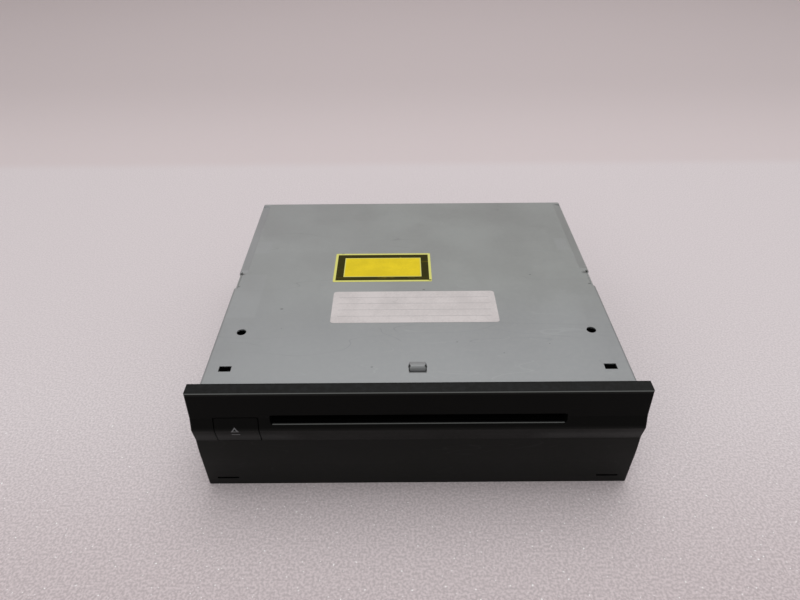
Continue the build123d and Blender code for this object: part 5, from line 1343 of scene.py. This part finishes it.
class DRIVE_OT_board(bpy.types.Operator):
    """Make the circuit board's chips, leads and small parts"""

    bl_idname = "disc_drive.board"
    bl_label = "Circuit board"

    def execute(self, context):
        settings = context.scene.drive_mechanism
        resist = self.resist_material(settings)
        finish_nodes(resist, "main_board", "button_board")
        resin = made_material("Chip resin", screen_colour(38, 39, 42), 0.55, vary=0.1, grain=(0.15, 0.006))
        tin = made_material("Tinned leads", screen_colour(196, 198, 200), 0.35, 0.9, edge=(0.03, 0.2))
        nylon = made_material("Connector nylon", screen_colour(222, 214, 190), 0.5, edge=(0.1, 0.1))
        can = made_material("Capacitor can", screen_colour(200, 202, 205), 0.32, 0.9, scratches=0.15)
        film = made_material("Cable film", screen_colour(206, 204, 196), 0.35, grain=(0.8, 0.004))
        plug = made_material("Switch resin", screen_colour(40, 40, 42), 0.5)
        finish_nodes(nylon, "board_connectors")
        finish_nodes(film, "flat_cable")
        finish_nodes(plug, "tact_switch", "detector_switches")
        self.chips(resin, tin)
        self.cans(can, plug)
        self.small_parts(settings.small_parts, tin)
        return {"FINISHED"}

    def resist_material(self, settings):
        """Green solder resist over copper tracks, in a grid of right-angled runs."""
        tree, shader = start_material("Solder resist", 0.35, Coat_Weight=0.2)
        place = object_place(tree)
        cells = {"Vector": place, "Scale": 170.0, "Randomness": 0.85}
        tracks = add_node(tree, "ShaderNodeTexVoronoi", cells, feature="F1", distance="MANHATTAN")
        bands = calc(tree, "FRACT", product(tree, tracks.outputs["Distance"], 7.0))
        fall = spread(tree, bands, 0.55, 0.65, 1.0, 0.0)
        copper = product(tree, spread(tree, bands, 0.1, 0.2), fall)
        green = tuple(settings.board)
        surface = mix_colour(tree, copper, green, scaled(green, 1.7))
        tone = effect(tree, "Cloud", Size=20.0, Mottle=0.3)
        dark = mix_colour(tree, spread(tree, tone, 0.3, 0.7, 0.0, 0.25), surface, (0.01, 0.03, 0.02))
        tree.links.new(dark, shader["Base Color"])
        bump = add_node(tree, "ShaderNodeBump", {"Height": copper, "Distance": 0.00003})
        tree.links.new(bump.outputs[0], shader["Normal"])
        return MATERIALS["Solder resist"]

    def chips(self, resin, tin):
        """Moulded packages with a round dimple at one corner, and bent leads round them."""
        bm = bmesh.new()
        places = []
        for x, depth, width, length, height, across, along in CHIPS:
            y = deep(depth)
            low = (x - width / 2, y - length / 2, BOARD_TOP + 0.1)
            high = (x + width / 2, y + length / 2, BOARD_TOP + height)
            add_block(bm, low, high, 0.22)
            dimple = (x - width / 2 + 2.0, y + length / 2 - 2.0, BOARD_TOP + height)
            add_lathe(bm, DIMPLE_OUTLINE, (0, 0, 1), dimple, 20)
            for number in range(along):
                step = (number - (along - 1) / 2) * (length - 3) / max(along - 1, 1)
                places.append(((x + width / 2, y + step, BOARD_TOP), (1, 0, 0)))
                places.append(((x - width / 2, y + step, BOARD_TOP), (-1, 0, 0)))
            for number in range(across):
                step = (number - (across - 1) / 2) * (width - 3) / max(across - 1, 1)
                places.append(((x + step, y + length / 2, BOARD_TOP), (0, 1, 0)))
                places.append(((x + step, y - length / 2, BOARD_TOP), (0, -1, 0)))
        place_on(to_object("chip_packages", bm, resin), "case", "chip_resin", "chips")
        leads = bmesh.new()
        for point, facing in places:
            out = Vector(facing)
            aside = Vector((-out.y, out.x, 0))
            rows = []
            for half in (-LEAD_HALF, LEAD_HALF):
                row = [Vector(point) + out * a + aside * half + Vector((0, 0, b)) for a, b in LEAD_OUTLINE]
                rows.append([leads.verts.new(corner) for corner in row])
            add_skin(leads, *rows)
            for row in rows:
                leads.faces.new(row)
        place_on(to_object("chip_leads", leads, tin, smooth=False), "case", "chip_resin")

    def cans(self, can, base):
        """Capacitors: a rolled can with a grooved foot on a square base."""
        cans = bmesh.new()
        bases = bmesh.new()
        for x, depth in CAPACITORS:
            centre = (x, deep(depth), BOARD_TOP)
            add_lathe(cans, CAN_OUTLINE, (0, 0, 1), centre, 40)
            low = (x - 3.95, deep(depth) - 3.95, BOARD_TOP + 0.02)
            high = (x + 3.95, deep(depth) + 3.95, BOARD_TOP + 1.35)
            add_block(bases, low, high, 0.3)
        place_on(to_object("capacitor_cans", cans, can), "case", "capacitor_can", "capacitors")
        place_on(to_object("capacitor_bases", bases, base), "case", "capacitor_can")

    def small_parts(self, count, tin):
        """Chip resistors and capacitors, scattered in rows where the board is free."""
        generator = random.Random(19)
        taken = [(x, depth, width / 2 + 2.5, length / 2 + 2.5) for x, depth, width, length, *rest in CHIPS]
        taken += [(x, depth, 6.0, 6.0) for x, depth in CAPACITORS]
        taken += [(x, depth, 11.0, 11.0) for x, depth in POSTS]
        taken += [(x, depth, 5.0, 5.0) for x, depth in BOARD_SCREWS]
        taken += KEEP_CLEAR
        spots = []
        tries = 0
        while len(spots) < count and tries < MOST_TRIES:
            tries += 1
            x = round(generator.uniform(-PART_REACH, PART_REACH) / PART_GRID) * PART_GRID
            depth = round(generator.uniform(*PART_DEPTHS) / PART_GRID) * PART_GRID
            if any(abs(x - a) < w and abs(depth - b) < h for a, b, w, h in taken):
                continue
            taken.append((x, depth, 2.4, 2.4))
            spots.append((x, depth, generator.random() < 0.5))
        body = made_material("Chip ceramic", screen_colour(96, 74, 54), 0.5, edge=(0.05, 0.2))
        for name, material in (("resistor_bodies", body), ("resistor_ends", tin)):
            shape = bmesh.new()
            if name == "resistor_bodies":
                add_block(shape, (-0.62, -0.55, 0.02), (0.62, 0.55, 0.52), 0.06)
            else:
                for side in SIDES:
                    inner, outer = sorted((side * 0.64, side * 1.0))
                    add_block(shape, (inner, -0.58, 0.0), (outer, 0.58, 0.55), 0.05)
            part = to_object(name + "_shape", shape, material)
            places = [((x, deep(depth), BOARD_TOP), (0, 0, 1)) for x, depth, way in spots]
            piece = repeat_shape(name, part, places, material)
            place_on(piece, "case", "chip_resin")


# Heights of the dampers' seats on their posts and of the deck's underside
POST_SEAT = 20.02
DECK_LOW = 30.0


class DRIVE_OT_suspension(bpy.types.Operator):
    """Make the rubber dampers under the loader and finish their posts and springs"""

    bl_idname = "disc_drive.suspension"
    bl_label = "Suspension"

    def execute(self, context):
        rubber = made_material("Damper rubber", (0.018, 0.018, 0.02), 0.7, vary=0.25, grain=(0.4, 0.02))
        wire = made_material("Spring wire", screen_colour(176, 177, 181), 0.3, 0.95, grain=(0.2, 0.004))
        zinc = MATERIALS["Bright zinc"]
        finish_nodes(zinc, "damper_posts", "board_standoffs", "deck_studs")
        finish_nodes(wire, "suspension_springs", "button_spring", "torsion_springs")
        bm = bmesh.new()
        neck = DECK_LOW - POST_SEAT - 0.05
        top = neck + 1.1
        profile = [(1.75, 0.1), (2.0, 0), (5.6, 0), (6.0, 0.5)]
        for step in range(13):
            angle = 2 * math.pi * step / 12
            profile.append((5.3 + 0.7 * math.cos(angle), 0.8 + 7.8 * step / 12))
        profile += [(6.0, neck - 0.4), (5.6, neck), (3.9, neck), (3.9, top), (5.2, top), (5.4, top + 0.4)]
        profile += [(5.0, top + 1.2), (4.6, top + 1.4), (2.0, top + 1.4), (1.75, top + 1.2)]
        for x, depth in POSTS:
            add_lathe(bm, profile, (0, 0, 1), (x, deep(depth), POST_SEAT), 48, closed=True)
        place_on(to_object("damper_bodies", bm, rubber), "case", "damper_rubber", "dampers")
        return {"FINISHED"}


# The roller's middle, as depth and height
ROLLER_PLACE = (19.0, 39.1)

# Its sleeves: bore, start and end of the ground face, rings on it, and length of the taper
SLEEVE_BORE = 1.27
SLEEVE_START = 6.2
SLEEVE_END = 61.6
SLEEVE_RINGS = 53
TAPER_LONG = 52

# The worm: X, the depth where its thread starts, and the thread's length, root, tip and pitch
WORM_X = -75.9
WORM_START = 28.0
WORM_LONG = 14.0
WORM_ROOT = 2.2
WORM_TIP = 3.19
WORM_PITCH = 1.6


class DRIVE_OT_feed(bpy.types.Operator):
    """Make the feed roller and the worm, and finish the gear train"""

    bl_idname = "disc_drive.feed"
    bl_label = "Feed roller and gears"

    def execute(self, context):
        settings = context.scene.drive_mechanism
        look = {"vary": 0.05, "grain": (0.3, 0.006), "edge": (0.06, 0.1), "Subsurface_Weight": 0.08}
        resin = made_material("Gear resin", tuple(settings.resin), 0.42, **look)
        look = {"grain": (0.3, 0.008), "edge": (0.1, 0.12)}
        dark = made_material("Guide resin", screen_colour(44, 44, 47), 0.4, **look)
        rubber = made_material("Roller rubber", (0.022, 0.022, 0.023), 0.75, vary=0.2, grain=(0.18, 0.03))
        look = {"vary": 0.05, "grain": (0.1, 0.002)}
        steel = made_material("Ground steel", screen_colour(198, 199, 202), 0.22, 1.0, **look)
        can = made_material("Motor can", screen_colour(190, 191, 193), 0.34, 0.95, vary=0.08, scratches=0.15)
        finish_nodes(resin, "roller_gear", "idler_gear", "reduction_gear", "worm_wheel")
        finish_nodes(dark, "disc_guide", "roller_bushings", "cam_slider")
        finish_nodes(dark, "left_disc_lever", "right_disc_lever")
        finish_nodes(steel, "roller_shaft", "clamp_arm_pin", "guide_rods")
        finish_nodes(can, "loading_motor", "sled_motor", "spindle_motor", "spindle_rotor")
        self.roller(rubber)
        self.worm(resin)
        return {"FINISHED"}

    def roller(self, rubber):
        """Two tapered rubber sleeves with rounded ends and fine ground rings."""
        bm = bmesh.new()
        for side in SIDES:
            profile = [(SLEEVE_BORE, 6.0), (3.2, 6.0), (3.4, SLEEVE_START)]
            for step in range(1, SLEEVE_RINGS):
                x = SLEEVE_START + (SLEEVE_END - SLEEVE_START) * step / SLEEVE_RINGS
                taper = min(1.0, (x - SLEEVE_START) / TAPER_LONG)
                groove = 0.05 if step % 4 == 0 else 0.0
                profile.append((3.4 + 0.6 * taper - groove, x))
            profile += [(4.0, SLEEVE_END), (3.8, 62.0), (SLEEVE_BORE, 62.0)]
            centre = (0, deep(ROLLER_PLACE[0]), ROLLER_PLACE[1])
            add_lathe(bm, profile, (side, 0, 0), centre, 40, closed=True)
        place_on(to_object("roller_sleeves", bm, rubber), "feed_roller", "roller_rubber", "feed_roller")

    def worm(self, resin):
        """The worm's real thread, on the shaft that runs into the motor."""
        low, high = corners("motor_worm")
        middle = (low + high) / 2
        worm_z = middle.z
        bm = bmesh.new()
        start = (WORM_X, deep(WORM_START), worm_z)
        add_thread(bm, WORM_ROOT, WORM_TIP, WORM_PITCH, WORM_LONG, (0, 1, 0), start, 32, 10)
        profile = [(0, 0), (0.8, 0), (1.0, 0.2), (1.0, high.y - low.y), (0, high.y - low.y)]
        add_lathe(bm, profile, (0, 1, 0), (WORM_X, low.y, worm_z), 24)
        place_on(to_object("worm_thread", bm, resin), "motor_worm", "gear_resin", "motor_worm")


class DRIVE_OT_clamp(bpy.types.Operator):
    """Finish the clamper and the turntable"""

    bl_idname = "disc_drive.clamp"
    bl_label = "Clamp and turntable"

    def execute(self, context):
        look = {"grain": (0.2, 0.01), "edge": (0.12, 0.15)}
        dark = made_material("Turntable resin", screen_colour(36, 36, 38), 0.48, **look)
        finish_nodes(dark, "turntable", "clamper")
        return {"FINISHED"}


# The lead screw's thread: the depths it runs between, and its root and tip radius
THREAD_DEPTHS = (100.5, 153.2)
THREAD_RADII = (1.2, 1.5)


class DRIVE_OT_traverse(bpy.types.Operator):
    """Make the lead screw's thread and finish the traverse, the sled and the lens"""

    bl_idname = "disc_drive.traverse"
    bl_label = "Traverse and pickup"

    def execute(self, context):
        settings = context.scene.drive_mechanism
        look = {"vary": 0.12, "cloud": 8.0, "grain": (0.35, 0.03), "edge": (0.2, 0.4)}
        cast = made_material("Die casting", screen_colour(150, 152, 156), 0.5, 0.75, **look)
        holder = MATERIALS["Guide resin"]
        steel = MATERIALS["Ground steel"]
        finish_nodes(cast, "traverse_chassis", "pickup_sled")
        finish_nodes(holder, "lens_holder")
        clear = {"IOR": 1.52, "Transmission_Weight": 0.92, "Coat_Weight": 0.6}
        tree, shader = start_material("Coated lens", 0.03, **clear)
        bend = add_node(tree, "ShaderNodeLayerWeight", {"Blend": 0.35}).outputs["Facing"]
        tint = mix_colour(tree, bend, (0.72, 0.86, 0.95), (0.55, 0.5, 0.8))
        tree.links.new(tint, shader["Base Color"])
        finish_nodes(MATERIALS["Coated lens"], "objective_lens")
        low, high = corners("lead_screw")
        middle = (low + high) / 2
        bm = bmesh.new()
        start = deep(THREAD_DEPTHS[0])
        long = deep(THREAD_DEPTHS[1]) - start
        centre = (middle.x, start, middle.z)
        add_thread(bm, *THREAD_RADII, settings.screw_pitch, long, (0, 1, 0), centre, 28, 12)
        end = high.y - low.y
        profile = [(0, 0), (0.85, 0), (1.0, 0.15), (1.0, end - 0.15), (0.85, end), (0, end)]
        add_lathe(bm, profile, (0, 1, 0), (middle.x, low.y, middle.z), 24)
        place_on(to_object("lead_screw_thread", bm, steel), "lead_screw", "bright_steel", "lead_screw")
        return {"FINISHED"}


# The floor sheet: half its width, its front edge, where it turns up, the turn's radius and the wall's top
FLOOR_HALF = 2600.0
FLOOR_FRONT = -1600.0
FLOOR_TURN = 1300.0
TURN_RADIUS = 400.0
WALL_TOP = 1500.0

# The shares of the floor's colour in the painted shade near by and on the painted wall, low and high, and the
# mean of its flecks
PAINTED_NEAR_SHADE = (0.84, 0.8, 0.8)
PAINTED_WALL_SHADE_LOW = (0.92, 0.89, 0.88)
PAINTED_WALL_SHADE_HIGH = (0.80, 0.77, 0.76)
FLOOR_MEAN = 0.96

# Where the floor turns from one tone to the next in Y, in metres: the painted shade at the front, the floor's
# end where the painted wall begins, and the wall's painted shade deepening further back
FRONT_TURN = (-0.16, -0.02)
FLOOR_END = (0.252, 0.272)
WALL_TURN = (0.25, 0.52)

# Width of the camera's sensor, in millimetres
SENSOR_WIDTH = 36.0


class DRIVE_OT_stage(bpy.types.Operator):
    """Lay the floor and set the lamps and the camera"""

    bl_idname = "disc_drive.stage"
    bl_label = "Stage"

    def execute(self, context):
        settings = context.scene.drive_stage
        self.floor(settings)
        self.lamps(settings)
        self.camera(settings)
        context.scene.view_settings.view_transform = "Standard"
        return {"FINISHED"}

    def floor(self, settings):
        """A wide pale sheet that turns up far behind, faintly speckled, with painted shade near the front, a
        painted wall in shade from a little behind the drive, and painted glints near the front.
        """
        tree, shader = start_material("Pale floor", 0.6, Specular_IOR_Level=0.3)
        place = object_place(tree)
        axes = axes_of(tree, place)
        pale = tuple(settings.floor)
        # Painted shade: from a little behind the drive the floor is painted darker as a wall in shade, darker
        # further back
        painted_wall_tones = (scaled(pale, PAINTED_WALL_SHADE_LOW), scaled(pale, PAINTED_WALL_SHADE_HIGH))
        behind = mix_colour(tree, spread(tree, axes["Y"], *WALL_TURN), *painted_wall_tones)
        # Painted shade: the floor is darker near the front
        level = mix_colour(tree, spread(tree, axes["Y"], *FRONT_TURN), scaled(pale, PAINTED_NEAR_SHADE), pale)
        fleck = noise(tree, place, 950.0, 3.0)
        glint = noise(tree, place, 760.0, 1.0)
        nearness = spread(tree, axes["Y"], -0.2, 0.1, 1.0, 0.35)
        grain = spread(tree, fleck, 0.36, 0.64, 0.8, 1.09)
        grain = product(tree, calc(tree, "SUBTRACT", grain, FLOOR_MEAN), nearness)
        parts = {number: calc(tree, "ADD", grain, FLOOR_MEAN) for number in range(3)}
        shade = add_node(tree, "ShaderNodeCombineColor", parts)
        speckled = mix_colour(tree, 1.0, level, shade.outputs[0], "MULTIPLY")
        # Painted glints: bright flecks on the floor near the front
        painted_glints = product(tree, spread(tree, glint, 0.71, 0.77), nearness)
        speckled = mix_colour(tree, painted_glints, speckled, (0.98, 0.97, 0.97))
        beyond = spread(tree, axes["Y"], *FLOOR_END)
        tree.links.new(mix_colour(tree, beyond, speckled, behind), shader["Base Color"])
        wiring = {"Height": noise(tree, place, 190.0, 5.0), "Distance": 0.0004, "Strength": 0.5}
        bump = add_node(tree, "ShaderNodeBump", wiring)
        tree.links.new(bump.outputs[0], shader["Normal"])
        bm = bmesh.new()
        outline = [(FLOOR_FRONT, 0.0), (FLOOR_TURN, 0.0)]
        for step in range(1, 13):
            angle = math.radians(90 * step / 12)
            y = FLOOR_TURN + TURN_RADIUS * math.sin(angle)
            outline.append((y, TURN_RADIUS - TURN_RADIUS * math.cos(angle)))
        outline.append((FLOOR_TURN + TURN_RADIUS, WALL_TOP))
        left = [bm.verts.new((-FLOOR_HALF, y, z)) for y, z in outline]
        right = [bm.verts.new((FLOOR_HALF, y, z)) for y, z in outline]
        for step in range(len(outline) - 1):
            bm.faces.new((left[step], right[step], right[step + 1], left[step + 1]))
        floor = to_object("floor", bm, MATERIALS["Pale floor"])

    def lamps(self, settings):
        """One broad lamp overhead and behind, a weak one in front, and even light all round."""
        world = bpy.data.worlds.new("Studio")
        world.use_nodes = True
        background = world.node_tree.nodes["Background"]
        background.inputs["Color"].default_value = (1.0, 0.985, 0.985, 1.0)
        background.inputs["Strength"].default_value = settings.sky
        bpy.context.scene.world = world
        for name, place, aim, size, power in (
            ("overhead_lamp", (0.15, 0.35, 1.5), (0, 0, 0), 1.1, settings.lamp),
            ("front_lamp", (-0.7, -1.1, 0.9), (0, 0, 0.03), 0.9, settings.lamp * 0.25),
        ):
            lamp = bpy.data.lights.new(name, "AREA")
            lamp.energy = power
            lamp.size = size
            holder = add_to_scene(name, lamp)
            holder.location = place
            holder.rotation_euler = (Vector(aim) - Vector(place)).to_track_quat("-Z", "Y").to_euler()

    def camera(self, settings):
        """The camera, where it stood and as it was turned."""
        pitch, yaw, roll = (math.radians(angle) for angle in (CAMERA_PITCH, CAMERA_YAW, CAMERA_ROLL))
        forward = Vector((math.sin(yaw) * math.cos(pitch), math.cos(yaw) * math.cos(pitch), -math.sin(pitch)))
        right = Vector((math.cos(yaw), -math.sin(yaw), 0))
        up = right.cross(forward)
        across = right * math.cos(roll) + up * math.sin(roll)
        above = up * math.cos(roll) - right * math.sin(roll)
        lens = bpy.data.cameras.new("camera")
        lens.lens = settings.lens
        lens.sensor_width = SENSOR_WIDTH
        lens.clip_start = 0.01
        camera = add_to_scene("camera", lens)
        turn = Matrix((across, above, -forward)).transposed().to_4x4()
        camera.matrix_world = Matrix.Translation(Vector(CAMERA_PLACE)) @ turn
        bpy.context.scene.camera = camera


class DRIVE_PT_panel(bpy.types.Panel):
    """Lists the pieces of the disc drive"""

    bl_idname = "DRIVE_PT_panel"
    bl_label = "Disc Drive"
    bl_space_type = "VIEW_3D"
    bl_region_type = "UI"
    bl_category = "Disc Drive"

    def draw(self, context):
        layout = self.layout
        for operator in OPERATORS:
            layout.operator(operator.bl_idname)
        for holder in SETTINGS:
            settings = getattr(context.scene, holder)
            box = layout.box()
            for name in settings.__annotations__:
                box.prop(settings, name)


OPERATORS = (
    DRIVE_OT_case_sheet,
    DRIVE_OT_face,
    DRIVE_OT_felts,
    DRIVE_OT_labels,
    DRIVE_OT_screws,
    DRIVE_OT_sockets,
    DRIVE_OT_board,
    DRIVE_OT_suspension,
    DRIVE_OT_feed,
    DRIVE_OT_clamp,
    DRIVE_OT_traverse,
    DRIVE_OT_stage,
)
SETTINGS = {
    "drive_sheet": SheetSettings,
    "drive_face": FaceSettings,
    "drive_labels": LabelSettings,
    "drive_mechanism": MechanismSettings,
    "drive_stage": StageSettings,
}


def register():
    """Registers the settings, the operators and the panel."""
    for holder, settings in SETTINGS.items():
        bpy.utils.register_class(settings)
        setattr(bpy.types.Scene, holder, PointerProperty(type=settings))
    for operator in OPERATORS:
        bpy.utils.register_class(operator)
    bpy.utils.register_class(DRIVE_PT_panel)


def unregister():
    """Takes them away again."""
    bpy.utils.unregister_class(DRIVE_PT_panel)
    for operator in reversed(OPERATORS):
        bpy.utils.unregister_class(operator)
    for holder, settings in SETTINGS.items():
        delattr(bpy.types.Scene, holder)
        bpy.utils.unregister_class(settings)


def main():
    """Builds every piece in order."""
    register()
    for operator in OPERATORS:
        group, name = operator.bl_idname.split(".")
        getattr(getattr(bpy.ops, group), name)()


if __name__ == "__main__":
    main()
